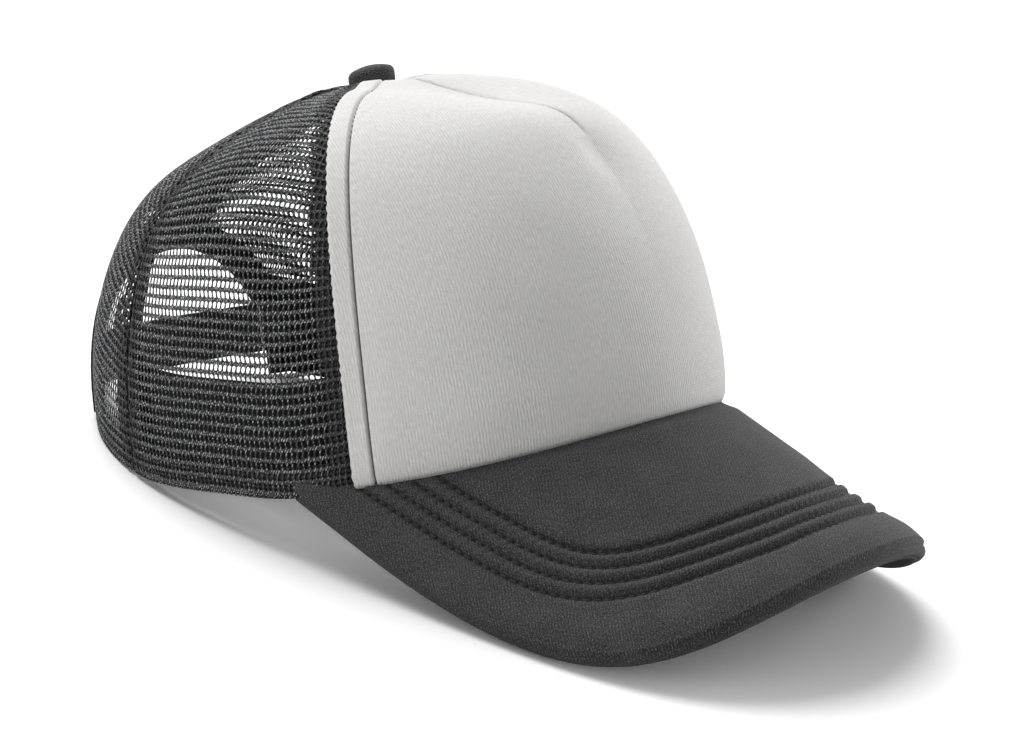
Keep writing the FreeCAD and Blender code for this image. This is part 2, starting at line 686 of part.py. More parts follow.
draw(washer_sketch, ("shank_radius + seat", WASHER_LOW), (
    ("line", ("washer_radius", WASHER_LOW)),
    ("line", ("washer_radius", f"{WASHER_LOW} + washer_skin")),
    ("line", ("shank_radius + seat", f"{WASHER_LOW} + washer_skin")),
    ("line", ("shank_radius + seat", WASHER_LOW)),
))
revolve(washer, washer_sketch)
button += [rivet, washer]

# ---- the snap strap --------------------------------------------------------------------------

# The straps are drawn about their own upright axis behind the crown's, with the foot of the
# strap at Z = 0. Plan angles are from +X, so 90 is the middle of the back.


def strap_arc(body, outside, start, sweep):
    """A leaning band about the strap axis."""
    sketch = new_sketch(body, "XZ_Plane", turn=repr(evaluate(start)))
    inside = f"{outside} - strap_skin"
    draw(sketch, (outside, "0"), (
        ("line", (f"{outside} - strap_lean", "strap_tall")),
        ("line", (f"{inside} - strap_lean", "strap_tall")),
        ("line", (inside, "0")),
        ("line", (outside, "0")),
    ))
    revolve(body, sketch, sweep)


def strap_root(body, outside, angle):
    """The rounded root of a strap, on the line that it swings about."""
    rings = []
    for height, lean in (("0", "0"), ("strap_tall", "strap_lean")):
        ring = new_sketch(body, "XY_Plane", ("0", "0", height), Vector(0, 0, 1), angle)
        draw_circle(ring, (f"{outside} - strap_skin / 2 - {lean}", "0"), "strap_skin / 2")
        rings.append(ring)
    loft(body, rings)


def round_free_end(body, angle, radius):
    """Rounds the two corners of a strap's free end."""
    doc.recompute()
    shape = body.Shape
    along = Vector(math.cos(math.radians(angle)), math.sin(math.radians(angle)), 0)
    names = []
    for count, edge in enumerate(shape.Edges, 1):
        middle = edge.CenterOfMass
        flat = Vector(middle.x, middle.y, 0)
        if abs(edge.Length - value("strap_skin")) < 0.05 and (flat.normalize() - along).Length < 1e-3:
            names.append(f"Edge{count}")
    carrier = body.Tip
    feature = body.newObject("PartDesign::Fillet", body.Name + "_fillet")
    feature.Base = (carrier, names)
    feature.Radius = radius
    return feature


HOLES_OUTSIDE = "strap_radius"
STUDS_OUTSIDE = "(strap_radius - strap_skin - strap_play)"
ROOT_GAP = "((strap_skin / 2 + strap_play) / strap_radius * 180 / pi)"
SNAPS = 6
SNAP_FIRST = "(1.5 * snap_pitch)"

hole_strap = new_body("hole_strap")
strap_arc(hole_strap, HOLES_OUTSIDE, "90 - strap_end", "strap_end + strap_hinge")
round_free_end(hole_strap, evaluate("90 - strap_end"), value("strap_round"))
strap_root(hole_strap, HOLES_OUTSIDE, "90 + strap_hinge")
collar_foot = f"({HOLES_OUTSIDE} - strap_lean / 2 - strap_skin / 2)"
collar_sketch = new_sketch(hole_strap, "XZ_Plane",
                           (f"{collar_foot} * sin({SNAP_FIRST})", "0", f"-{collar_foot} * cos({SNAP_FIRST})"),
                           turn=f"-{SNAP_FIRST}")
draw_circle(collar_sketch, ("0", "strap_tall / 2"), "hole_radius + collar_wide")
collars = pad(hole_strap, collar_sketch, "strap_skin / 2 + collar_tall", backwards=True)
polar(hole_strap, collars, f"{SNAPS - 1} * snap_pitch", SNAPS)
hole_sketch = new_sketch(hole_strap, "XZ_Plane", turn=f"-{SNAP_FIRST}")
draw_circle(hole_sketch, ("0", "strap_tall / 2"), "hole_radius")
polar(hole_strap, pocket(hole_strap, hole_sketch), f"{SNAPS - 1} * snap_pitch", SNAPS)

stud_strap = new_body("stud_strap")
strap_arc(stud_strap, STUDS_OUTSIDE, "90 - strap_hinge", "strap_end + strap_hinge")
round_free_end(stud_strap, evaluate("90 + strap_end"), value("strap_round"))
strap_root(stud_strap, STUDS_OUTSIDE, "90 - strap_hinge")
stud_turn = f"({SNAP_FIRST} - {SNAPS - 1} * snap_pitch)"
stud_foot = f"({STUDS_OUTSIDE} - strap_lean / 2 - strap_skin / 2)"
stud_sketch = new_sketch(stud_strap, "XZ_Plane",
                         (f"-{stud_foot} * sin({stud_turn})", "0", f"-{stud_foot} * cos({stud_turn})"),
                         turn=stud_turn)
draw_circle(stud_sketch, ("0", "strap_tall / 2"), "stud_radius")
studs = pad(stud_strap, stud_sketch, "strap_skin / 2 + stud_tall", backwards=True, taper="-stud_taper")
polar(stud_strap, studs, f"{SNAPS - 1} * snap_pitch", SNAPS)

tab_right = new_body("strap_tab_right")
strap_arc(tab_right, HOLES_OUTSIDE, f"90 + strap_hinge + {ROOT_GAP}", f"strap_tab - strap_hinge - {ROOT_GAP}")
tab_left = new_body("strap_tab_left")
strap_arc(tab_left, STUDS_OUTSIDE, "90 - strap_tab", f"strap_tab - strap_hinge - {ROOT_GAP}")
straps = [hole_strap, stud_strap, tab_right, tab_left]

# ---- everything in its place ------------------------------------------------------------------

NOSE_UP_AXIS = Vector(-1, 0, 0)


def place(item, back="0", up="0"):
    """Leans a part back with the whole cap, from a foot behind and above the crown's."""
    item.Placement = Placement(Vector(0, 0, 0), Rotation(NOSE_UP_AXIS, value("nose_up")))
    item.setExpression("Placement.Rotation.Angle", "Dims.nose_up")
    item.setExpression("Placement.Base.y", bind(f"({back}) * cos(nose_up) + ({up}) * sin(nose_up) + slide"))
    item.setExpression("Placement.Base.z", bind(f"({up}) * cos(nose_up) - ({back}) * sin(nose_up) + lift"))


for item in crown + peak + button:
    place(item)
for item in straps:
    place(item, "strap_centre", "rim_rise + strap_lift")
doc.recompute()

parts = crown + peak + button + straps


def head_points(items):
    """Points on the surfaces of some parts in the head frame, right, back and up."""
    return [item.Placement.inverse() * corner for item in items for corner in item.Shape.tessellate(0.2)[0]]


def lowest(points, lean):
    """The lowest of some points once the cap leans back, as its height and how far back it is."""
    turned = Rotation(NOSE_UP_AXIS, lean)
    low = min((turned * point for point in points), key=lambda point: point.z)
    return low.z, low.y


# The cap rests on the edges of its peak and on the rim at the nape: the lean that brings both to
# the same height is found in a few steps, then the whole cap is set down on Z = 0.
peak_points = head_points(peak)
nape_points = head_points([item for item in crown if item.Label.startswith("back_panel")])
lean = value("nose_up")
for attempt in range(8):
    peak_low, nape_low = lowest(peak_points, lean), lowest(nape_points, lean)
    lean += math.degrees(math.atan2(nape_low[0] - peak_low[0], nape_low[1] - peak_low[1]))
dims.set("nose_up", repr(round(lean, 4)))
dims.set("lift", repr(round(-min(peak_low[0], nape_low[0]), 4)))
doc.recompute()
depths = [point.y for item in parts for point in item.Shape.tessellate(0.2)[0]]
dims.set("slide", repr(round(-(min(depths) + max(depths)) / 2, 4)))
doc.recompute()

for item in doc.Objects:
    if "Invalid" in item.State or "Error" in item.State:
        raise RuntimeError(f"{item.Name} did not compute: {item.State}")
for item in parts:
    if item.Shape.isNull() or not item.Shape.isValid():
        raise RuntimeError(f"{item.Label} has no valid shape")

os.makedirs("parts", exist_ok=True)
for item in parts:
    item.Shape.exportStep(f"parts/{item.Label}.step")
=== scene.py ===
"""The looks of a trucker mesh cap: knitted front, net sides and back, stitched peak, covered button."""

import sys
import logging
import math
from dataclasses import dataclass, field
from enum import Enum
from typing import Callable, Optional, Union

import bmesh
import bpy
import numpy as np
from mathutils import Matrix, Vector


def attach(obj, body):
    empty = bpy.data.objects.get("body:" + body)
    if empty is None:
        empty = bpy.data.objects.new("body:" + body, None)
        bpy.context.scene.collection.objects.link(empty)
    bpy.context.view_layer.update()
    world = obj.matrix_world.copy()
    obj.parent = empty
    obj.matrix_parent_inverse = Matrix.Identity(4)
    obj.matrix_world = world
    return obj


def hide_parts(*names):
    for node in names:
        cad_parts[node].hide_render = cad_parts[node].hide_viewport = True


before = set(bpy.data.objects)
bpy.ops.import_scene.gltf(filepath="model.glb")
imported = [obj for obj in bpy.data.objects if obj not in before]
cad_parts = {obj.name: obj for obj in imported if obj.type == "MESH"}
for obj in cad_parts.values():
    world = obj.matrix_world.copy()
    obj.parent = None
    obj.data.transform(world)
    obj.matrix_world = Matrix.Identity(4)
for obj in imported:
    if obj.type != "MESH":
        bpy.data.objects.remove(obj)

LOG = logging.getLogger("cap")
MM = 0.001
Array = np.ndarray
Mapping = Callable[[Array, Array], Array]


class Side(Enum):
    """A side of the wearer, by the sign of its rim angles."""

    RIGHT = 1
    LEFT = -1

    def piece(self, name: str) -> str:
        """The name of this side's piece."""
        return f"{name}_{self.name.lower()}"


# ---- small tools ------------------------------------------------------------------------------


def only(obj: Optional[bpy.types.Object] = None) -> None:
    """Leaves nothing selected, or just one object, so an operator acts on that alone.

    Args:
        obj: the object, or nothing.
    """
    for other in bpy.context.selected_objects:
        other.select_set(False)
    if obj is not None:
        obj.select_set(True)
        bpy.context.view_layer.objects.active = obj


def grid(name: str, across: int, along: int) -> bpy.types.Object:
    """Adds a flat cloth blank of unit size, to be shaped point by point.

    Args:
        name: the piece's name.
        across: faces from u = 0 to 1.
        along: faces from v = 0 to 1.

    Returns:
        The new object, with its corner at the origin.
    """
    only()
    bpy.ops.mesh.primitive_grid_add(x_subdivisions=across, y_subdivisions=along, size=1,
                                    location=(0.5, 0.5, 0))
    bpy.ops.object.transform_apply(location=True, rotation=False, scale=False)
    obj = bpy.context.object
    obj.name = obj.data.name = name
    return obj


def points_of(obj: bpy.types.Object) -> Array:
    """Every vertex of a piece, as rows of x, y and z.

    Args:
        obj: the piece.

    Returns:
        Places in metres.
    """
    flat = np.empty(len(obj.data.vertices) * 3, np.float32)
    obj.data.vertices.foreach_get("co", flat)
    return flat.reshape(-1, 3).astype(float)


def move_points(obj: bpy.types.Object, places: Array) -> None:
    """Moves every vertex of a piece, in metres."""
    obj.data.vertices.foreach_set("co", np.ascontiguousarray(places, np.float32).ravel())
    obj.data.update()


def lay_cloth(obj: bpy.types.Object, flat: Array, name: str = "cloth") -> None:
    """Writes two values in mm for each vertex, such as its flat cloth coordinates, into a UV map.

    Args:
        obj: the piece.
        flat: one row of two values for each vertex.
        name: the map's name; "cloth" takes the place of the blank's own map.
    """
    layers = obj.data.uv_layers
    layer = layers[0] if layers and name == "cloth" else layers.new(name=name)
    layer.name = name
    corners = np.empty(len(obj.data.loops), np.int32)
    obj.data.loops.foreach_get("vertex_index", corners)
    layer.data.foreach_set("uv", np.ascontiguousarray(flat[corners], np.float32).ravel())


def shape(obj: bpy.types.Object, place: Mapping, cloth: Optional[Mapping] = None,
          edges: Optional[Mapping] = None) -> None:
    """Moves a blank's points to where a mapping of u and v puts them, and lays out its cloth.

    Args:
        obj: a blank from grid().
        place: gives places in metres from u and v.
        cloth: gives the cloth's own flat coordinates in mm from u and v.
        edges: gives two distances from the cloth's edges in mm from u and v.
    """
    flat = points_of(obj)
    if cloth is not None:
        lay_cloth(obj, cloth(flat[:, 0], flat[:, 1]))
    if edges is not None:
        lay_cloth(obj, edges(flat[:, 0], flat[:, 1]), "edges")
    move_points(obj, place(flat[:, 0], flat[:, 1]))


def finish_mesh(obj: bpy.types.Object, outward: Optional[Vector] = None) -> None:
    """Turns a piece's faces outward and shades it smooth.

    Args:
        obj: the piece.
        outward: a place inside an open sheet's bowl, in metres; without it the piece is a closed shell.
    """
    mesh = bmesh.new()
    mesh.from_mesh(obj.data)
    if outward is None:
        bmesh.ops.recalc_face_normals(mesh, faces=mesh.faces)
    else:
        votes = sum(face.normal.dot(face.calc_center_median() - outward) > 0 for face in mesh.faces)
        if votes * 2 < len(mesh.faces):
            bmesh.ops.reverse_faces(mesh, faces=mesh.faces)
    for face in mesh.faces:
        face.smooth = True
    mesh.to_mesh(obj.data)
    mesh.free()


def apply_modifier(obj: bpy.types.Object, kind: str, **settings: object) -> None:
    """Adds a modifier with its settings and applies it.

    Args:
        obj: the piece.
        kind: the modifier's type.
        settings: its own settings.
    """
    only(obj)
    modifier = obj.modifiers.new(kind.title(), kind)
    for key, value in settings.items():
        setattr(modifier, key, value)
    bpy.ops.object.modifier_apply(modifier=modifier.name)


def smooth_faces(obj: bpy.types.Object) -> None:
    """Shades a piece smooth."""
    obj.data.polygons.foreach_set("use_smooth", [True] * len(obj.data.polygons))
    obj.data.update()


def thicken(obj: bpy.types.Object, inside: Vector, skin: float) -> None:
    """Turns an open sheet's faces outward and gives it its thickness.

    Args:
        obj: the sheet.
        inside: a place inside the sheet's bowl, in metres.
        skin: its thickness in mm, laid inward.
    """
    finish_mesh(obj, inside)
    apply_modifier(obj, "SOLIDIFY", thickness=skin * MM, offset=-1)
    smooth_faces(obj)


def link_new(obj: bpy.types.Object) -> bpy.types.Object:
    """Puts a new object in the scene."""
    bpy.context.collection.objects.link(obj)
    return obj


def new_piece(name: str, places: Array, faces: list[list[int]], cloth: Array) -> bpy.types.Object:
    """Makes a piece from points in metres, lists of corner numbers and flat cloth coordinates in mm.

    Args:
        name: the piece's name.
        places: its points.
        faces: the corners of each face.
        cloth: where each point lies on the flat cloth.

    Returns:
        The piece.
    """
    mesh = bpy.data.meshes.new(name)
    mesh.from_pydata(places.tolist(), [], faces)
    obj = link_new(bpy.data.objects.new(name, mesh))
    lay_cloth(obj, cloth)
    return obj


def dress(obj: bpy.types.Object, material: bpy.types.Material, body: str = "cap",
          stands_for: tuple[str, ...] = ()) -> None:
    """Gives a piece its finish and the body that carries it, and logs it.

    Args:
        obj: the piece.
        material: its finish.
        body: the body that it moves with.
        stands_for: CAD nodes that it replaces.
    """
    obj.data.materials.clear()
    obj.data.materials.append(material)
    if stands_for:
        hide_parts(*stands_for)
    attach(obj, body)
    LOG.info("%s: %d faces", obj.name, len(obj.data.polygons))


def bump(distance: Array, width: float) -> Array:
    """A soft ridge: 1 at distance 0, falling off over a width."""
    return np.exp(-(distance / width) ** 2)


def step(value: Array, start: float, end: float) -> Array:
    """Rises smoothly from 0 to 1 between two values."""
    share = np.clip((value - start) / (end - start), 0, 1)
    return share * share * (3 - 2 * share)


def unit(rows: Array) -> Array:
    """Rows scaled to length 1."""
    return rows / np.maximum(np.linalg.norm(rows, axis=-1, keepdims=True), 1e-12)


def run_of(points: Array, axis: int = 0) -> Array:
    """The distance along rows of points from the first one, along an axis of their array."""
    legs = np.linalg.norm(np.diff(points, axis=axis), axis=-1)
    return np.concatenate([np.zeros_like(np.take(legs, [0], axis)), np.cumsum(legs, axis)], axis)


def read_along(want: Array, run: Array, path: Array) -> Array:
    """The places at distances along a path, whose own points lie at run."""
    return np.stack([np.interp(want, run, column) for column in path.T], 1)


def bezier(t: Array, one: Array, two: Array, three: Array, four: Array) -> Array:
    """Places at shares t along a cubic arc, from its four poles."""
    return ((1 - t) ** 3 * one + 3 * (1 - t) ** 2 * t * two + 3 * (1 - t) * t ** 2 * three
            + t ** 3 * four)


def ripple(u: Array, v: Array, seed: int, waves: int = 9) -> Array:
    """Slow unevenness of handled cloth, between about -1 and 1, from a few crossing waves.

    Args:
        u: places across, a crest being about 8 units from the next.
        v: places along.
        seed: which unevenness.
        waves: how many waves cross.

    Returns:
        The unevenness at each place.
    """
    rng = np.random.default_rng(seed)
    total = np.zeros_like(u)
    for _ in range(waves):
        turn, pace, start = rng.uniform(0, math.pi), rng.uniform(0.5, 1.0), rng.uniform(0, 2 * math.pi)
        total += np.sin(pace * (u * math.cos(turn) + v * math.sin(turn)) + start)
    return total / math.sqrt(waves)


# ---- where everything is ----------------------------------------------------------------------


@dataclass(frozen=True)
class Stance:
    """How the cap rests: leaned nose up and set down on the floor."""

    nose_up: float = 19.4754
    lift: float = 18.3495
    slide: float = 27.1143

    def world(self, head: Array) -> Array:
        """Takes places in mm in the head's frame to metres in the row's frame.

        Args:
            head: places x, y, z in mm.

        Returns:
            The same places in metres.
        """
        cos, sin = math.cos(math.radians(self.nose_up)), math.sin(math.radians(self.nose_up))
        x, y, z = head[..., 0], head[..., 1], head[..., 2]
        return np.stack([x, y * cos + z * sin + self.slide, z * cos - y * sin + self.lift], -1) * MM

    def turned(self, directions: Array) -> Array:
        """Takes directions in the head's frame to the row's frame."""
        return self.world(directions) - self.world(np.zeros(3))


@dataclass(frozen=True)
class Crown:
    """The crown's outside: arcs through stations round the rim, in mm in the head's frame.

    The net hangs a little below its arcs where nothing stretches it, and flares where the rim
    passes over the ends of the peak.

    Rim angles run from the forehead, positive on the wearer's right, where x is negative. Rises
    run along an arc from 0 at the rim to 1 under the button.
    """

    rim_front: float = 99.5
    rim_back: float = 103.4
    rim_side: float = 80.0
    back_square: float = 2.2
    height: float = 102.9
    rim_dip: float = 6.5
    rim_rise: float = 21.5
    eyelet: float = 5.0
    seam_front: float = 67.4
    seam_side: float = 115.7
    full_front: float = 0.725
    full_seam: float = 0.84
    full_side: float = 0.675
    full_back: float = 0.575
    peak_bend: float = 88.0
    peak_pitch: float = 34.5
    peak_root: float = 70.0
    seat: float = 0.35
    arch_radius: float = 40.0
    arch_centre: float = 21.2
    slump: float = 2.8
    flare_at: float = 78.0
    flare_out: float = 2.3
    flare_down: float = 2.6

    def exact_poles(self, size: Array) -> Array:
        """Four poles of the arc at each rim angle, on the wearer's left.

        Args:
            size: rim angles from 0 to 180.

        Returns:
            Poles x, y, z in mm, from the rim up.
        """
        turn, behind = np.radians(size), size > 90
        power = np.where(behind, 2 / self.back_square, 1.0)
        x = self.rim_side * np.abs(np.sin(turn)) ** power
        y = np.where(behind, self.rim_back, -self.rim_front) * np.abs(np.cos(turn)) ** power
        radius = np.hypot(x, y)
        pitch = math.radians(self.peak_pitch)
        bow = np.sqrt(np.maximum(self.peak_bend ** 2 - x ** 2, 1))
        on_peak = (self.rim_front + y) * math.tan(pitch) + self.seat
        on_peak -= (self.peak_bend - bow) / math.cos(pitch)
        nape = -self.rim_dip * np.sin(turn) ** 2 + self.rim_rise * np.cos(turn) ** 2
        low = np.where(size < self.peak_root, on_peak, np.where(behind, nape, -self.rim_dip))
        full = np.interp(size, (0, self.seam_front, self.seam_side, 180),
                         (self.full_front, self.full_seam, self.full_side, self.full_back))
        top = np.full_like(x, self.height)
        eyelet = np.full_like(x, self.eyelet)
        out = [radius, radius, eyelet + full * (radius - eyelet), eyelet]
        up = [low, low + full * (top - low), top, top]
        return np.stack([np.stack([x / radius * a, y / radius * a, z], -1) for a, z in zip(out, up)], -2)

    def poles(self, angle: Array) -> Array:
        """Poles at signed rim angles, lofted behind the front seam between each panel's stations.

        Args:
            angle: rim angles in degrees.

        Returns:
            Poles x, y, z in mm, from the rim up.
        """
        size = np.minimum(np.abs(angle), 180.0)
        found = self.exact_poles(size)
        for start, end in ((self.seam_front, self.seam_side), (self.seam_side, 180.0)):
            anchor = self.exact_poles(start + (end - start) * np.arange(4) / 3)
            share = (size - start) / (end - start) * 3
            weights = [np.prod([(share - j) / (i - j) for j in range(4) if j != i], axis=0)
                       for i in range(4)]
            lofted = sum(weight[..., None, None] * pole for weight, pole in zip(weights, anchor))
            inside = (size > start) & (size <= end)
            found = np.where(inside[..., None, None], lofted, found)
        found[..., 0] *= np.where(angle < 0, 1.0, -1.0)[..., None]
        return found

    def point(self, angle: Array, rise: Array) -> Array:
        """Places on the crown's outside.

        Args:
            angle: rim angles in degrees.
            rise: rises along the arcs.

        Returns:
            Places x, y, z in mm, in the head's frame.
        """
        angle, rise = np.broadcast_arrays(np.asarray(angle, float), np.asarray(rise, float))
        place = bezier(rise[..., None], *np.moveaxis(self.poles(angle), -2, 0))
        place[..., 2] -= self.slump * step(np.abs(angle), 68, 92) * bump(rise - 0.7, 0.17)
        flare = bump(np.abs(angle) - self.flare_at, 13) * np.clip(1 - rise, 0, 1) ** 6
        place[..., :2] *= (1 + self.flare_out / self.rim_side * flare)[..., None]
        place[..., 2] -= self.flare_down * flare
        return place

    def normal(self, angle: Array, rise: Array) -> Array:
        """Outward directions, square to the crown.

        Args:
            angle: rim angles in degrees.
            rise: rises along the arcs.

        Returns:
            Unit directions.
        """
        angle, rise = np.broadcast_arrays(np.asarray(angle, float), np.asarray(rise, float))
        up = self.point(angle, rise + 0.004) - self.point(angle, rise - 0.004)
        across = self.point(angle - 0.15, rise) - self.point(angle + 0.15, rise)
        return unit(np.cross(across, up))

    def at(self, angle: Array, rise: Array, out: Array | float = 0.0) -> Array:
        """Places a distance in mm outside the crown, in the head's frame."""
        return self.point(angle, rise) + self.normal(angle, rise) * np.asarray(out, float)[..., None]

    def in_arch(self, head: Array, beyond: float) -> Array:
        """Whether places lie in the rear opening, widened by a distance in mm."""
        across = np.hypot(head[..., 0], np.maximum(head[..., 2] - self.arch_centre, 0))
        return (across < self.arch_radius + beyond) & (head[..., 1] > 0)


CAP = Stance()
CROWN = Crown()
HEART = Vector(CAP.world(np.array([0.0, 0.0, 35.0])))


@dataclass
class Gore:
    """One panel of the crown as flat cloth: distances in mm across it and up from its rim.

    Rows of the flat cloth are straight, so on the crown they sag toward the seams.
    """

    start: float
    end: float
    spread: int = 49
    fine: int = 141
    rung: float = 0.5
    angles: Array = field(init=False)
    runs: Array = field(init=False)
    rises: Array = field(init=False)
    across: Array = field(init=False)
    sag: Array = field(init=False)

    def __post_init__(self) -> None:
        """Measures the panel along its arcs and across its rows."""
        self.angles = np.linspace(self.start, self.end, self.spread)
        t = np.linspace(0, 1, self.fine)
        net = CROWN.point(self.angles[:, None], t[None, :])
        run = run_of(net, 1)
        self.runs = np.arange(0, run[:, -1].max() + 1, self.rung)
        self.rises = np.stack([np.interp(self.runs, row, t) for row in run], 1)
        row = CROWN.point(self.angles[None, :], self.rises)
        width = run_of(row, 1)
        middle = width[:, self.spread // 2]
        self.across = width - middle[:, None]
        reach = np.maximum(np.hypot(*np.moveaxis(row[:, self.spread // 2, :2], -1, 0)), 1.0)
        self.sag = np.clip(-np.gradient(reach, self.runs), 0, 1) / reach

    def up(self, s: Array, t: Array) -> Array:
        """Distance up along the arcs of a place on the flat cloth."""
        return t - s * s / 2 * np.interp(t, self.runs, self.sag)

    def locate(self, s: Array, t: Array) -> tuple[Array, Array, Array]:
        """Rim angle, rise and distance inside the nearer seam of places on the flat cloth.

        Args:
            s: distances across from the middle, in mm.
            t: distances up from the rim, in mm.

        Returns:
            The three, in that order.
        """
        up = np.clip(self.up(s, t), 0, self.runs[-1])
        place = np.minimum(up / self.rung, len(self.runs) - 1.001)
        row, part = place.astype(int), (place % 1)[:, None]
        width = self.across[row] * (1 - part) + self.across[row + 1] * part
        clipped = np.clip(s, width[:, 0], width[:, -1])
        column = np.sum(width <= clipped[:, None], axis=1) - 1
        column = np.clip(column, 0, self.spread - 2)
        pick = np.arange(len(s))
        left, right = width[pick, column], width[pick, column + 1]
        share = (clipped - left) / np.maximum(right - left, 1e-9)
        angle = self.angles[column] + share * (self.angles[1] - self.angles[0])
        level = self.rises[row] * (1 - part) + self.rises[row + 1] * part
        rise = level[pick, column] * (1 - share) + level[pick, column + 1] * share
        inside = np.minimum(s - width[:, 0], width[:, -1] - s)
        return angle, rise, inside


# ---- finishes -----------------------------------------------------------------------------------


def linear(hex_colour: str) -> tuple[float, float, float, float]:
    """Turns an sRGB colour, such as "2f3034", to the linear values and alpha a shader takes.

    Args:
        hex_colour: such as "#808080".

    Returns:
        Red, green, blue and 1, as linear values.
    """
    parts = [int(hex_colour[k:k + 2], 16) / 255 for k in (0, 2, 4)]
    lin = [p / 12.92 if p <= 0.04045 else ((p + 0.055) / 1.055) ** 2.4 for p in parts]
    return (lin[0], lin[1], lin[2], 1.0)


@dataclass(eq=False)
class Signal:
    """A value in a node tree, with the sums that patterns are worked out by."""

    nodes: "Nodes"
    socket: bpy.types.NodeSocket

    def __add__(self, other: "Feed") -> "Signal":
        """Their sum."""
        return self.nodes.add("Math", self, other, operation="ADD")

    def __sub__(self, other: "Feed") -> "Signal":
        """Their difference."""
        return self.nodes.add("Math", self, other, operation="SUBTRACT")

    def __mul__(self, other: "Feed") -> "Signal":
        """Their product."""
        return self.nodes.add("Math", self, other, operation="MULTIPLY")

    def __truediv__(self, other: "Feed") -> "Signal":
        """Their quotient."""
        return self.nodes.add("Math", self, other, operation="DIVIDE")

    def __pow__(self, other: "Feed") -> "Signal":
        """This one to a power."""
        return self.nodes.add("Math", self, other, operation="POWER")

    def __or__(self, other: "Feed") -> "Signal":
        """The larger of the two, so where either mask is on."""
        return self.nodes.add("Math", self, other, operation="MAXIMUM")

    def __abs__(self) -> "Signal":
        """Its size without its sign."""
        return self.nodes.add("Math", self, operation="ABSOLUTE")


Feed = Union[Signal, float, tuple]


@dataclass
class Nodes:
    """A node tree being filled."""

    tree: bpy.types.NodeTree

    def feed(self, socket: bpy.types.NodeSocket, source: Feed) -> None:
        """Links a signal to a socket, or sets the socket's own value.

        Args:
            socket: the input.
            source: the signal or the value.
        """
        if isinstance(source, Signal):
            self.tree.links.new(source.socket, socket)
        else:
            socket.default_value = source

    def add(self, kind: str, *feeds: Feed, named: Optional[dict[int | str, Feed]] = None,
            out: int | str = 0, **settings: object) -> Signal:
        """Adds a node with its settings and links.

        Args:
            kind: the node's type, without "ShaderNode".
            feeds: what feeds its inputs in order.
            named: what feeds further inputs, by the input's name or number.
            out: the output that is wanted.
            settings: the node's own settings.

        Returns:
            That output.
        """
        node = self.tree.nodes.new("ShaderNode" + kind)
        for key, value in settings.items():
            setattr(node, key, value)
        for slot, source in {**dict(enumerate(feeds)), **(named or {})}.items():
            self.feed(node.inputs[slot], source)
        return Signal(self, node.outputs[out])

    def seen(self) -> Signal:
        """1 where a ray shows the background, straight or mirrored."""
        return self.add("LightPath", out="Is Camera Ray") | self.add("LightPath", out="Is Glossy Ray")


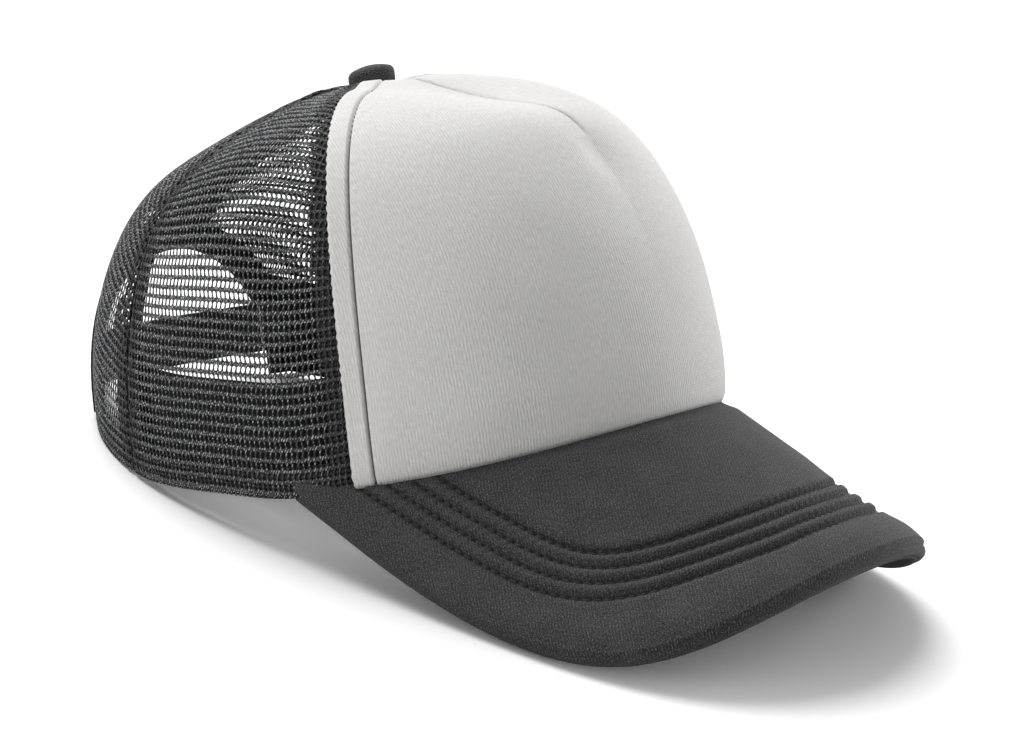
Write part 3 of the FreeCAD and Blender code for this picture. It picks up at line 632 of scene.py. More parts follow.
class Recipe(Nodes):
    """A material being mixed: its nodes and its shader."""

    def __init__(self, name: str) -> None:
        """Starts from the plain shader.

        Args:
            name: the material's name.
        """
        self.material = bpy.data.materials.new(name)
        self.material.use_nodes = True
        super().__init__(self.material.node_tree)
        self.shader = self.tree.nodes["Principled BSDF"]

    def cloth(self, name: str = "cloth") -> tuple[Signal, Signal, Signal]:
        """The piece's flat cloth coordinates in mm: both together, across and along."""
        where = self.add("UVMap", uv_map=name)
        return where, self.add("SeparateXYZ", where, out=0), self.add("SeparateXYZ", where, out=1)

    def space(self) -> Signal:
        """The place in the object, in mm."""
        place = self.add("TexCoord", out="Object")
        return self.add("VectorMath", place, (1 / MM,) * 3, operation="MULTIPLY")

    def wave(self, value: Signal, pitch: float, low: float = -1.0, high: float = 1.0,
             to_low: float = 0.0, to_high: float = 1.0, kind: str = "SINE") -> Signal:
        """An even ripple along a value, as of ribs or stitches.

        Args:
            value: the run that it follows, in mm.
            pitch: the distance from one crest to the next, in mm.
            low: the part of the ripple, which runs from -1 to 1, that becomes to_low.
            high: the part that becomes to_high.
            to_low: the value given at low, and beyond it.
            to_high: the value given at high, and beyond it.
            kind: "SINE", or "COSINE" to start on a crest.

        Returns:
            The ripple.
        """
        turned = self.add("Math", value * (2 * math.pi / pitch), operation=kind)
        return self.add("MapRange", turned, low, high, to_low, to_high)

    def cloud(self, where: Signal, size: float, low: float = 0.0, high: float = 1.0,
              to_low: float = 0.0, to_high: float = 1.0, detail: float = 2.0) -> Signal:
        """Cloudy unevenness, as of wear or fuzz.

        Args:
            where: the place, in mm.
            size: how wide its features are, in mm.
            low: the part of the unevenness, which runs from 0 to 1, that becomes to_low.
            high: the part that becomes to_high.
            to_low: the value given at low, and beyond it.
            to_high: the value given at high, and beyond it.
            detail: how many finer layers it has.

        Returns:
            The unevenness.
        """
        uneven = self.add("TexNoise", where, named={"Scale": 1 / size, "Detail": detail})
        return self.add("MapRange", uneven, low, high, to_low, to_high)

    def streaks(self, across: Signal, along: Signal, wide: float, long: float) -> Signal:
        """Unevenness from 0 to 1 drawn out along the yarns, each streak so wide and so long in mm."""
        return self.cloud(self.add("CombineXYZ", across / wide, along / long), 1.0)

    def coats(self, base: str | tuple, *layers: tuple[Signal, str | tuple]) -> Signal:
        """Lays colours over one another.

        Args:
            base: the lowest colour, as hex or linear values.
            layers: each further colour, after the share of it that shows.

        Returns:
            The colour.
        """
        shade = linear(base) if isinstance(base, str) else base
        for share, colour in layers:
            over = linear(colour) if isinstance(colour, str) else colour
            shade = self.add("Mix", share, named={6: shade, 7: over}, out=2, data_type="RGBA")
        return shade

    def finish(self, colour: Feed, roughness: Feed, height: Optional[Signal] = None,
               relief: float = 0.0, **inputs: Feed) -> bpy.types.Material:
        """Feeds the shader.

        Args:
            colour: the base colour.
            roughness: the roughness.
            height: a height pattern from 0 to 1.
            relief: what that height stands for, in mm.
            inputs: further values for the shader's own sockets, with _ for each space.

        Returns:
            The material.
        """
        feeds = {"Base Color": colour, "Roughness": roughness}
        feeds.update({key.replace("_", " "): value for key, value in inputs.items()})
        if height is not None:
            feeds["Normal"] = self.add("Bump", named={"Height": height, "Distance": relief * MM})
        for slot, source in feeds.items():
            self.feed(self.shader.inputs[slot], source)
        return self.material


@dataclass(frozen=True)
class Knit:
    """Polyester knit laminated to foam: fine upright ribs of stitches that catch the light softly."""

    colour: str = "e8e7e6"
    groove: str = "c3c2c0"
    # painted shade in the creases beside the seams and along the dart
    crease: str = "4c4a48"
    rib: float = 0.9  # real ribs stand 0.5 mm apart, too fine to show
    loop: float = 0.8  # real loops are shorter, too fine to show
    stitch: float = 2.5
    crease_at: float = 6.05
    dart_long: float = 76.0

    def make(self) -> bpy.types.Material:
        """Builds the material.

        Returns:
            The material.
        """
        mix = Recipe("white_polyester_knit")
        where, across, along = mix.cloth()
        ribs = mix.wave(across + mix.cloud(where, 6.0, to_high=0.5), self.rib)
        loops = ribs + mix.wave(along, self.loop) * 0.25
        runs = mix.add("MapRange", mix.streaks(across, along, 0.45, 2.0), 0.36, 0.64)
        haze = mix.cloud(where, 25.0, 0.35, 0.7, 0.0, 0.15, detail=4.0)
        shade = mix.coats(
            self.colour, (mix.add("MapRange", loops, 0.0, 0.7, 0.5, 0.0), self.groove),
            (runs * 0.45, self.groove), (haze, self.groove), (self.shadow(mix, along), self.crease))
        return mix.finish(shade, 0.86, loops + runs, 0.05, Sheen_Weight=0.2, Sheen_Roughness=0.5,
                          Sheen_Tint=linear("ffffff"))

    def shadow(self, mix: Recipe, along: Signal) -> Signal:
        """Painted shade where the cloth lies deep in a crease and little light reaches: by the seams and in
        the dart.

        Args:
            mix: the material being mixed.
            along: the run along the panel, in mm.

        Returns:
            0 on open cloth, to 0.8.
        """
        _, edge, top = mix.cloth("edges")
        # painted shade: a line along each crease, dashed at the stitch pitch near the button, and a line
        # along the dart
        dashes = mix.wave(along, self.stitch, -0.6, 0.2) | mix.add("MapRange", top, 55.0, 75.0)
        line = mix.add("MapRange", abs(edge - self.crease_at), 0.42, 0.12)
        seam = line * dashes * mix.add("MapRange", top, 14.0, 22.0)
        from_middle = abs(mix.add("SeparateXYZ", mix.space()))
        fading = mix.add("MapRange", top, self.dart_long, self.dart_long - 12, 0.0, 0.85)
        dart = mix.add("MapRange", from_middle, 0.9, 0.25) * fading
        return (seam | dart) * 0.8


@dataclass(frozen=True)
class Twill:
    """Cotton twill: raised cords run slantwise, with pale worn flecks on their tops; shade is painted in its
    stitching.
    """

    name: str
    colour: str
    fleck: str
    valley: str
    # painted shade in the grooves of the stitching, darkest at the needle holes
    stitch_groove_shade: str = "050505"
    cord: float = 0.85  # real cords stand about 0.6 mm apart, too fine to show
    stitch: float = 3.0
    fleck_share: float = 0.6

    def make(self) -> bpy.types.Material:
        """Builds the material.

        Returns:
            The material.
        """
        mix = Recipe(self.name)
        where, across, along = mix.cloth()
        slope, length = across * 0.78 + along * 0.62, along * 0.78 - across * 0.62
        cords = mix.wave(slope + mix.cloud(where, 2.0, to_high=0.6), self.cord, to_low=0.3)
        yarns = mix.add("MapRange", mix.streaks(slope, length, 0.5, 1.1), 0.35, 0.65, 0.25, 1.0)
        weave = cords * yarns
        specks = mix.cloud(where, 0.36, 0.45, 0.68)
        tops = specks * mix.add("MapRange", weave, 0.1, 0.8, 0.45, 1.0)
        wear = mix.cloud(where, 9.0, 0.4, 0.72, 0.0, 0.056, detail=4.0)
        shade = mix.coats(
            self.valley, (mix.add("MapRange", weave, 0.1, 0.6), self.colour),
            (tops * self.fleck_share, self.fleck), (wear, self.fleck), (self.stitch_shade(mix), self.stitch_groove_shade))
        return mix.finish(shade, 0.92, weave, 0.07, Sheen_Weight=0.04, Sheen_Roughness=0.6,
                          Specular_IOR_Level=0.3)

    def stitch_shade(self, mix: Recipe) -> Signal:
        """Painted shade in a row of stitching, where the cloth is drawn in, darkest at the needle holes.

        The map "edges" holds 10 and more across the rows, one to each, and the run along them.

        Args:
            mix: the material being mixed.

        Returns:
            0 away from the rows.
        """
        _, row, run = mix.cloth("edges")
        away = abs(mix.add("Math", row + 0.5, operation="FRACT") - 0.5)
        line = mix.add("MapRange", away, 0.17, 0.03)
        among = mix.add("MapRange", row, 9.5, 9.6) * mix.add("MapRange", row, 13.5, 13.4)
        return line * among * mix.wave(run, self.stitch, -0.2, 0.9, 0.5, 0.95, "COSINE")


@dataclass(frozen=True)
class NetYarn:
    """Warp-knitted polyester net yarn of filament bundles: black, with a grey glint painted on each strand.
    """

    colour: str = "09090a"
    # painted highlight on the strands
    glint: str = "b9babd"
    pitch: float = 1.8
    row: float = 3.0
    ply_across: float = 0.9
    ply_along: float = 1.5

    def make(self) -> bpy.types.Material:
        """Builds the material.

        Returns:
            The material.
        """
        mix = Recipe("black_polyester_net")
        where, across, along = mix.cloth()
        _, inside, up = mix.cloth("edges")
        strand = mix.wave(across / self.ply_across + along / self.ply_along, 1.0)
        leg = mix.wave(across, self.pitch, 0.4, -0.8, kind="COSINE")
        band = mix.wave(along, self.row, 0.2, -0.7, kind="COSINE")
        # painted highlight along the strands on the legs and bands, weaker in the doubled seam strips and the
        # hem
        light = strand * mix.cloud(where, 0.8, 0.42, 0.66, detail=3.0) * (leg | band)
        in_seam = mix.add("MapRange", inside, 5.6, 6.6, 0.3, 1.0)
        in_hem = mix.add("MapRange", up, 6.5, 8.5, 0.7, 1.0)
        light = mix.add("MapRange", light, 0.08, 0.66) ** 1.5 * in_seam * in_hem
        shade = mix.coats(self.colour, (light, self.glint))
        return mix.finish(shade, 0.6, strand, 0.08, Specular_IOR_Level=0.35)


@dataclass(frozen=True)
class WovenTape:
    """Woven cotton or polyester tape: close ribs across its length and a faint bloom."""

    name: str
    colour: str
    light: str
    rib: float = 0.8  # real ribs are about 0.5 mm apart, too fine to show
    yarn: float = 0.7

    def make(self) -> bpy.types.Material:
        """Builds the material.

        Returns:
            The material.
        """
        mix = Recipe(self.name)
        where, across, along = mix.cloth()
        weave = mix.wave(along, self.rib) * mix.wave(across, self.yarn, to_low=0.5)
        fuzz = mix.cloud(where, 1.4, 0.35, 0.75, detail=4.0)
        shade = mix.coats(self.colour, (weave * fuzz, self.light))
        return mix.finish(shade, 0.88, weave, 0.07, Sheen_Weight=0.05, Sheen_Roughness=0.6,
                          Specular_IOR_Level=0.3)


@dataclass(frozen=True)
class Foam:
    """Open-cell polyurethane foam: matt, with fine pores."""

    colour: str = "e4e2dc"
    pore: str = "b9b5ab"
    cell: float = 0.9

    def make(self) -> bpy.types.Material:
        """Builds the material.

        Returns:
            The material.
        """
        mix = Recipe("open_cell_foam")
        where = mix.space()
        cells = mix.add("TexVoronoi", where, named={"Scale": 1 / self.cell}, out="Distance")
        pores = mix.add("MapRange", cells, 0.1, 0.55)
        stain = mix.cloud(where, 14.0, 0.35, 0.7, 0.0, 0.2, detail=3.0)
        shade = mix.coats(self.pore, (pores, self.colour), (stain, self.pore))
        return mix.finish(shade, 0.95, pores, 0.12)


@dataclass(frozen=True)
class Moulded:
    """Moulded polyethylene: satin black with the mould's fine grain and faint rubbed patches."""

    colour: str = "17171a"
    rubbed: str = "2c2c31"
    grain: float = 0.5

    def make(self) -> bpy.types.Material:
        """Builds the material.

        Returns:
            The material.
        """
        mix = Recipe("moulded_black_polyethylene")
        where = mix.space()
        rub = mix.cloud(where, 7.0, detail=5.0)
        shade = mix.coats(self.colour, (mix.add("MapRange", rub, 0.45, 0.7), self.rubbed))
        rough = mix.add("MapRange", rub, 0.3, 0.7, 0.34, 0.5)
        return mix.finish(shade, rough, mix.cloud(where, self.grain), 0.02, IOR=1.52)


@dataclass(frozen=True)
class Steel:
    """Pressed and zinc-plated steel: dull silver with drawing marks."""

    colour: str = "b4b6b8"
    spangle: str = "8f9194"

    def make(self) -> bpy.types.Material:
        """Builds the material.

        Returns:
            The material.
        """
        mix = Recipe("zinc_plated_steel")
        where = mix.space()
        drawn = mix.add("Mapping", where, named={"Scale": (1, 1, 0.15)})
        marks = mix.cloud(drawn, 0.4, detail=3.0)
        shade = mix.coats(self.colour, (mix.cloud(where, 3.0, 0.35, 0.65), self.spangle))
        return mix.finish(shade, mix.add("MapRange", marks, 0.3, 0.7, 0.25, 0.45), marks, 0.01,
                          Metallic=1.0)


@dataclass(frozen=True)
class Thread:
    """Spun polyester sewing thread: two plies twisted together."""

    name: str
    colour: str
    light: str
    twist: float = 0.6

    def make(self) -> bpy.types.Material:
        """Builds the material.

        Returns:
            The material.
        """
        mix = Recipe(self.name)
        where, across, along = mix.cloth()
        plies = mix.wave(across * 2.0 + along, self.twist)
        shade = mix.coats(self.colour, (plies * mix.cloud(where, 0.8, detail=3.0), self.light))
        return mix.finish(shade, 0.6, plies, 0.05, Sheen_Weight=0.2)


# ---- sewing ---------------------------------------------------------------------------------------


@dataclass
class Stitching:
    """A run of stitches: each a short twisted thread end lying in the cloth."""

    name: str
    material: bpy.types.Material
    slot: str
    pitch: float = 3.2
    length: float = 2.3
    radius: float = 0.28
    body: str = "cap"
    rows: list[tuple[Array, Array]] = field(default_factory=list)

    def add(self, path: Array, outward: Array) -> None:
        """Adds a row of stitches.

        Args:
            path: places in metres along the row.
            outward: the cloth's outward direction at each.
        """
        self.rows.append((path, outward))

    def one(self) -> tuple[Array, Array]:
        """Models one stitch, along X, and gives its points and faces.

        Returns:
            Its points in mm, and the corners of each face.
        """
        only()
        bpy.ops.mesh.primitive_uv_sphere_add(segments=6, ring_count=4, radius=1)
        ball = bpy.context.object
        bpy.ops.transform.rotate(value=math.pi / 2, orient_axis="Y", center_override=(0, 0, 0))
        bpy.ops.object.transform_apply(location=True, rotation=True, scale=True)
        points = points_of(ball)
        points[:, 0] = np.sign(points[:, 0]) * np.abs(points[:, 0]) ** 0.6
        points *= np.array([self.length / 2, self.radius, self.radius * 0.75])
        faces = [list(face.vertices) for face in ball.data.polygons]
        bpy.data.objects.remove(ball)
        return points, np.array([face + face[-1:] * (4 - len(face)) for face in faces])

    def build(self) -> bpy.types.Object:
        """Copies the stitch along every row and makes them one piece.

        Returns:
            The piece.
        """
        points, faces = self.one()
        places, flats, corners = [], [], []
        for path, outward in self.rows:
            run = run_of(path)
            count = int(run[-1] / (self.pitch * MM))
            middle = (np.arange(count) + 0.5) * run[-1] / max(count, 1)
            centre = read_along(middle, run, path)
            along = unit(read_along(middle + 0.4 * MM, run, path) - centre)
            aside = unit(np.cross(unit(read_along(middle, run, outward)), along))
            basis = np.stack([along, aside, np.cross(along, aside)], 1) * MM
            start = sum(len(block) for block in places) + np.arange(count) * len(points)
            corners.append((faces[None] + start[:, None, None]).reshape(-1, 4))
            places.append((centre[:, None] + np.einsum("pk,nkc->npc", points, basis)).reshape(-1, 3))
            up = np.repeat(middle / MM, len(points)) + np.tile(points[:, 0], count)
            flats.append(np.stack([np.tile(points[:, 1], count), up], 1))
        rows = [list(dict.fromkeys(quad)) for quad in np.concatenate(corners).tolist()]
        obj = new_piece(self.name, np.concatenate(places), rows, np.concatenate(flats))
        finish_mesh(obj)
        dress(obj, self.material, self.body)
        return obj


# ---- the crown's net --------------------------------------------------------------------------------


@dataclass
class NetPanels:
    """Net sides and back: rows of slanting holes between bands of knitting, doubled along the seams.

    Cells whose rows run steeper than steepest are left out, except gathered_from mm and nearer to
    the button. Corners nearer than same mm are one corner, and faces under smallest square metres
    are dropped.
    """

    pitch: float = 1.8
    row: float = 3.0
    hole_wide: float = 1.3
    hole_tall: float = 1.95
    slant: float = 0.16
    thick: float = 0.42
    depth: float = 0.45
    under: float = 1.1
    fold_wide: float = 6.5
    hem_tall: float = 8.0
    steepest: float = 1.3
    gathered_from: float = 38.0
    same: float = 0.02
    smallest: float = 2e-9

    def cell(self) -> tuple[Array, Array]:
        """One hole with the knitting round it, as rings from the front's middle line to the back's.

        Returns:
            Five rings of eight points across, along and out, and the faces between them.
        """
        frame_ring = np.array([(1, 0), (1, 1), (0, 1), (-1, 1), (-1, 0), (-1, -1), (0, -1), (1, -1)], float)
        turn = np.arange(8) * math.pi / 4
        hole = np.stack([np.cos(turn), np.sin(turn)], 1)
        hole = np.sign(hole) * np.abs(hole) ** 0.8 * [self.hole_wide / 2, self.hole_tall / 2]
        outer = frame_ring * [self.pitch / 2, self.row / 2]
        middle = hole * 0.45 + outer * 0.55
        half = self.thick / 2
        rings = [np.column_stack([ring, np.full(8, out)]) for ring, out in
                 ((outer, half), (middle, half * 0.8), (hole, 0), (middle, -half * 0.8), (outer, -half))]
        faces = [[8 * r + k, 8 * r + (k + 1) % 8, 8 * r + 8 + (k + 1) % 8, 8 * r + 8 + k]
                 for r in range(4) for k in range(8)]
        return np.concatenate(rings), np.array(faces)

    def knit(self, gore: Gore, keep: Callable[[Array, Array, Array], Array], depth: float,
             shift: tuple[float, float] = (0.0, 0.0)) -> tuple[Array, Array, Array, Array]:
        """Knits a layer of net over a panel.

        Args:
            gore: the panel.
            keep: says which cells stay, from their place in the head's frame, height up and inset.
            depth: how far inside the crown's outside the layer lies.
            shift: how far the layer's holes are moved across and up.

        Returns:
            Places in metres, faces, flat cloth coordinates, and distances inside the seam and up.
        """
        points, faces = self.cell()
        wide, tall = np.abs(gore.across).max() + self.pitch, gore.runs[-1] + 12
        columns, rows = int(wide / self.pitch) + 1, int(tall / self.row) + 1
        i, j = np.meshgrid(np.arange(-columns, columns + 1), np.arange(-1, rows), indexing="ij")
        s0, t0 = i.ravel() * self.pitch + shift[0], j.ravel() * self.row + shift[1]
        lean = (j.ravel() % 2) * 2 - 1
        angle, rise, inside = gore.locate(s0, t0)
        up = gore.up(s0, t0)
        within = (inside > 0.2).reshape(2 * columns + 1, -1)
        left, right = (np.logical_and.accumulate(half, axis=0)
                       for half in (within[columns::-1], within[columns:]))
        good = np.concatenate([left[:0:-1], right]).ravel() & (up > -0.6) & (up < gore.runs[-1] - 1.5)
        steep = np.abs(s0) * np.interp(t0, gore.runs, gore.sag) > self.steepest
        good &= ~steep | (up > gore.runs[-1] - self.gathered_from)
        good &= keep(CROWN.point(angle, rise), up, inside)
        s0, t0, lean = s0[good], t0[good], lean[good]
        s = s0[:, None] + points[:, 0]
        shear = lean[:, None] * self.slant * np.sin(points[:, 1] * 2 * math.pi / self.row)
        layer = np.broadcast_to(points[:, 2], s.shape)
        flat = np.stack([s + shear, t0[:, None] + points[:, 1], layer], -1).reshape(-1, 3)
        _, first, back = np.unique(np.round(flat / self.same).astype(int), axis=0, return_index=True,
                                   return_inverse=True)
        flat = flat[first]
        corners = faces[None] + np.arange(len(s0))[:, None, None] * len(points)
        quads = back.reshape(-1)[corners.reshape(-1, 4)]
        drawn = flat[:, :2] / 10
        s, t = flat[:, 0] + 0.25 * ripple(*drawn.T, 41), flat[:, 1] + 0.5 * ripple(*drawn.T, 43)
        angle, rise, inside = gore.locate(s, t)
        wave = 0.22 * ripple(flat[:, 0] / 9, flat[:, 1] / 9, 5)
        knots = 0.16 * ripple(flat[:, 0] * 2.2, flat[:, 1] * 2.2, 6)
        knots *= step(inside, self.fold_wide + 1, self.fold_wide)
        valley = 0.55 * bump(inside, 1.1)
        from_top = gore.runs[-1] - gore.up(s, t)
        gathered = 1.4 * bump(from_top - 9, 12) * step(from_top, 2.2, 6)
        out = flat[:, 2] - depth - valley + knots + gathered + wave * step(depth, 5, 0)
        place = CAP.world(CROWN.at(angle, rise, out))
        a, b, c, d = (place[quads[:, k]] for k in range(4))
        area = np.linalg.norm(np.cross(c - a, d - b), axis=1) / 2
        return place, quads[area > self.smallest], flat[:, :2], np.stack([inside, gore.up(s, t)], 1)

    def panel(self, name: str, gore: Gore, material: bpy.types.Material, side: Side,
              stands_for: str) -> bpy.types.Object:
        """Builds one panel with its folded edges.

        Args:
            name: the piece's name.
            gore: the panel on the wearer's right.
            material: the net.
            side: the side that it is on; the left one is the right one mirrored.
            stands_for: the CAD node that it replaces.

        Returns:
            The piece.
        """
        def clear_of_arch(place: Array, up: Array, inside: Array) -> Array:
            """Keeps cells outside the rear opening."""
            return ~CROWN.in_arch(place, 0.8)

        def folded(place: Array, up: Array, inside: Array) -> Array:
            """Keeps cells in the folded hem and seam allowances."""
            return clear_of_arch(place, up, inside) & ((up < self.hem_tall) | (inside < self.fold_wide))

        layers = [self.knit(gore, clear_of_arch, self.depth),
                  self.knit(gore, folded, self.under, (self.pitch / 2, self.row * 0.45))]
        places, _, flats, edges = (np.concatenate(pair) for pair in zip(*layers))
        quads = np.concatenate([layers[0][1], layers[1][1] + len(layers[0][0])])
        if side is Side.LEFT:
            places, flats, quads = places * [-1, 1, 1], flats * [-1, 1], quads[:, ::-1]
        obj = new_piece(name, places, quads.tolist(), flats)
        lay_cloth(obj, edges, "edges")
        obj.data.validate()
        smooth_faces(obj)
        dress(obj, material, stands_for=(stands_for,))
        area = len(quads) / len(self.cell()[1]) * self.pitch * self.row * MM * MM
        return obj

    def build(self, material: bpy.types.Material) -> None:
        """Builds the four panels.

        Args:
            material: the yarn's finish.
        """
        side_gore = Gore(CROWN.seam_front, CROWN.seam_side)
        back_gore = Gore(CROWN.seam_side, 180.0)
        for side in Side:
            for place, gore in (("side", side_gore), ("back", back_gore)):
                self.panel(side.piece(f"net_{place}"), gore, material, side, side.piece(f"{place}_panel"))


# ---- the front panel ----------------------------------------------------------------------------------


@dataclass
class FrontPanel:
    """White knitted front: folded along both seams, with a dart from the button and a soft lower roll."""

    across: int = 290
    tall: int = 168
    fine: int = 91
    to_top: float = 0.995
    skin: float = 0.8
    foam: float = 2.2
    fold_wide: float = 5.8
    fold_rise: float = 0.4
    crease_deep: float = 1.4
    crease_wide: float = 0.32
    dart_long: float = 76.0
    dart_deep: float = 1.7
    dart_wide: float = 0.75
    puff: float = 2.4
    overhang: float = 0.5
    close: float = 9.0
    close_share: float = 0.2

    def flat(self, u: Array, v: Array) -> tuple[Array, Array, Array, Array, Array, Array]:
        """Measures the panel at places u across and v up.

        Args:
            u: places across, 0 at the seam on the wearer's right and 1 at the other.
            v: places up, from 0 at the rim to 1 at the top.

        Returns:
            Rim angle, rise, distance from the middle, height, distance from the top and from the seam.
        """
        fine = np.linspace(0, 1, self.fine)
        angles, rises = (fine - 0.5) * -2 * CROWN.seam_front, fine * self.to_top
        net = CROWN.point(angles[:, None], rises[None, :])
        run, wide = run_of(net, 1), run_of(net, 0)
        middle = self.fine // 2
        wide -= wide[middle]
        s, t = self.look_up(wide, u, v), self.look_up(run, u, v)
        half = np.interp(v, fine, wide[-1])
        from_top = np.interp(v, fine, run[middle, -1] - run[middle])
        return (u - 0.5) * -2 * CROWN.seam_front, v * self.to_top, s, t, from_top, half - np.abs(s)

    def spread(self, u: Array, v: Array) -> Array:
        """Draws columns together beside the seams, where the folds and creases are fine.

        Args:
            u: places across the blank, from 0 to 1.
            v: places up it.

        Returns:
            The place across the panel for each.
        """
        fine = np.linspace(0, 1, self.fine)
        angles, rises = np.linspace(1, -1, self.fine) * CROWN.seam_front, fine * self.to_top
        net = CROWN.point(angles[:, None], rises[None, :])
        half = np.interp(v, fine, run_of(net, 0)[-1] / 2)
        near = 1 - np.abs(2 * u - 1)
        close = np.minimum(self.close, 0.6 * half)
        want = np.where(near < self.close_share, close * near / self.close_share,
                        close + (half - close) * (near - self.close_share) / (1 - self.close_share))
        found = u.copy()
        for _ in range(4):
            edge = self.flat(found, v)[5]
            found = np.clip(found + (edge - want) / (2 * half) * np.sign(u - 0.5), 0, 1)
        return np.where(near < 1e-9, u, found)

    @staticmethod
    def look_up(table: Array, u: Array, v: Array) -> Array:
        """Reads a table over the unit square between its points.

        Args:
            table: the values.
            u: places along its rows.
            v: places along its columns.

        Returns:
            The value at each place.
        """
        i, j = u * (table.shape[0] - 1), v * (table.shape[1] - 1)
        a = np.minimum(i.astype(int), table.shape[0] - 2)
        b = np.minimum(j.astype(int), table.shape[1] - 2)
        p, q = i - a, j - b
        return (table[a, b] * (1 - p) * (1 - q) + table[a + 1, b] * p * (1 - q)
                + table[a, b + 1] * (1 - p) * q + table[a + 1, b + 1] * p * q)

    def fullness(self, u: Array, v: Array) -> Array:
        """How far the foam stands out: low at the temples, hollow along the dart, rolled in at the rim.

        Args:
            u: places across, from 0 to 1.
            v: places up.

        Returns:
            Distances outward in mm.
        """
        angle, _, s, t, from_top, edge = self.flat(u, v)
        out = self.puff * bump(t - 30, 30) * bump(np.abs(angle) - 46, 20) * step(edge, 0, 14)
        out += 0.9 * bump(t - 12, 12) * step(edge, 0, 10)
        out -= 3.7 * bump(from_top - 38, 19) * bump(s, np.where(s < 0, 24.0, 10.0))
        beside = bump(np.abs(s) - 17, 9) * bump(from_top - 34, 28) * step(edge, 2, 14)
        out += np.where(s > 0, 1.2, 0.3) * beside
        out += 1.3 * bump(from_top - 9, 8) * step(from_top, 2.2, 6)
        out += 0.7 * bump(from_top - 18, 9) * step(s, 0, 8)
        out += 1.7 * bump(from_top - 69, 13) * bump(s, 28)
        out -= 1.3 * bump(from_top - 95, 21) * bump(s, 34)
        out -= 1.0 * bump(s + 2, 6) * bump(from_top - self.dart_long - 4, 9)
        out += 0.28 * ripple(s / 15, t / 15, 3) * step(edge, 4, 12)
        return out - 1.3 * np.clip(1 - t / 4.0, 0, 1) ** 2

    def relief(self, u: Array, v: Array) -> Array:
        """How far the knitted face stands out, with its folds, creases and dart.

        Args:
            u: places across, from 0 to 1.
            v: places up.

        Returns:
            Distances outward in mm.
        """
        _, _, s, t, from_top, edge = self.flat(u, v)
        dart = np.clip(1 - from_top / self.dart_long, 0, 1)
        out = self.fullness(u, v)
        out += self.fold_rise * (1 - step(edge, self.fold_wide - 0.5, self.fold_wide))
        out -= self.crease_deep * bump(edge - self.fold_wide - 0.25, self.crease_wide)
        out -= 0.9 * np.clip(1 - edge / 0.9, 0, 1) ** 2
        out -= self.dart_deep * dart ** 0.45 * bump(s, self.dart_wide) * step(from_top, 1, 5)
        puckers = np.sin(t * 2 * math.pi / 3.0)
        out += 0.07 * puckers * bump(edge - self.fold_wide - 1.6, 1.4)
        out += 0.05 * ripple(s / 3, t / 3, 8)
        return out

    def face(self, material: bpy.types.Material) -> bpy.types.Object:
        """Builds the knitted face.

        Args:
            material: the knit.

        Returns:
            The piece.
        """
        obj = grid("front_panel_knit", self.across, self.tall)

        def place(u: Array, v: Array) -> Array:
            """Puts the face on the crown."""
            u = self.spread(u, v)
            angle, rise, _, t, _, edge = self.flat(u, v)
            place = CROWN.at(angle, rise, self.relief(u, v))
            lap = np.clip(1 - edge / 2.0, 0, 1)[:, None]
            scallop = self.overhang + 0.22 * np.cos(2 * math.pi * t / 3.0)
            ahead = CROWN.point(angle + np.sign(angle) * 0.3, rise) - CROWN.point(angle, rise)
            return CAP.world(place + lap * scallop[:, None] * unit(ahead))

        def cloth(u: Array, v: Array) -> Array:
            """Lays the ribs up the panel, meeting along the dart where a wedge of cloth is taken out."""
            _, _, s, t, from_top, _ = self.flat(self.spread(u, v), v)
            above = np.maximum(95 - from_top, 0)
            wedge = 0.45 * above ** 2 / (above + 30)
            return np.stack([s + wedge * s / (np.abs(s) + 0.5 + 12 * step(from_top, 60, 90)), t], 1)

        def edges(u: Array, v: Array) -> Array:
            """Measures from the seam and from the button."""
            _, _, _, _, from_top, edge = self.flat(self.spread(u, v), v)
            return np.stack([edge, from_top], 1)

        shape(obj, place, cloth, edges)
        thicken(obj, HEART, self.skin)
        dress(obj, material, stands_for=("front_panel_face",))
        return obj

    def lining(self, material: bpy.types.Material) -> bpy.types.Object:
        """Builds the foam behind the face.

        Args:
            material: the foam.

        Returns:
            The piece.
        """
        obj = grid("front_panel_foam_sheet", 120, 70)
        start = self.skin + 0.35

        def place(u: Array, v: Array) -> Array:
            """Puts the foam behind the face."""
            v = 0.012 + v * 0.98
            angle, rise, _, _, _, _ = self.flat(u, v)
            return CAP.world(CROWN.at(angle * 0.995, rise, self.fullness(u, v) * 0.8 - start))

        shape(obj, place)
        thicken(obj, HEART, self.foam)
        dress(obj, material, stands_for=("front_panel_foam",))
        return obj

    def crease(self, side: Side) -> tuple[Array, Array]:
        """The stitched crease beside a seam, as places and outward directions.

        Args:
            side: which of the two seams.

        Returns:
            Places in metres, and the directions.
        """
        v = np.linspace(0.02, 0.86, 160)
        u = np.full_like(v, 0.5)
        for _ in range(12):
            _, _, _, _, _, edge = self.flat(u, v)
            u = np.clip(u + (edge - self.fold_wide - 0.25) / 260 * side.value, 0, 1)
        angle, rise, _, _, _, _ = self.flat(u, v)
        normal = CROWN.normal(angle, rise)
        place = CAP.world(CROWN.point(angle, rise) + normal * (self.relief(u, v) + 0.12)[:, None])
        return place, CAP.turned(normal)


# ---- the peak -------------------------------------------------------------------------------------------


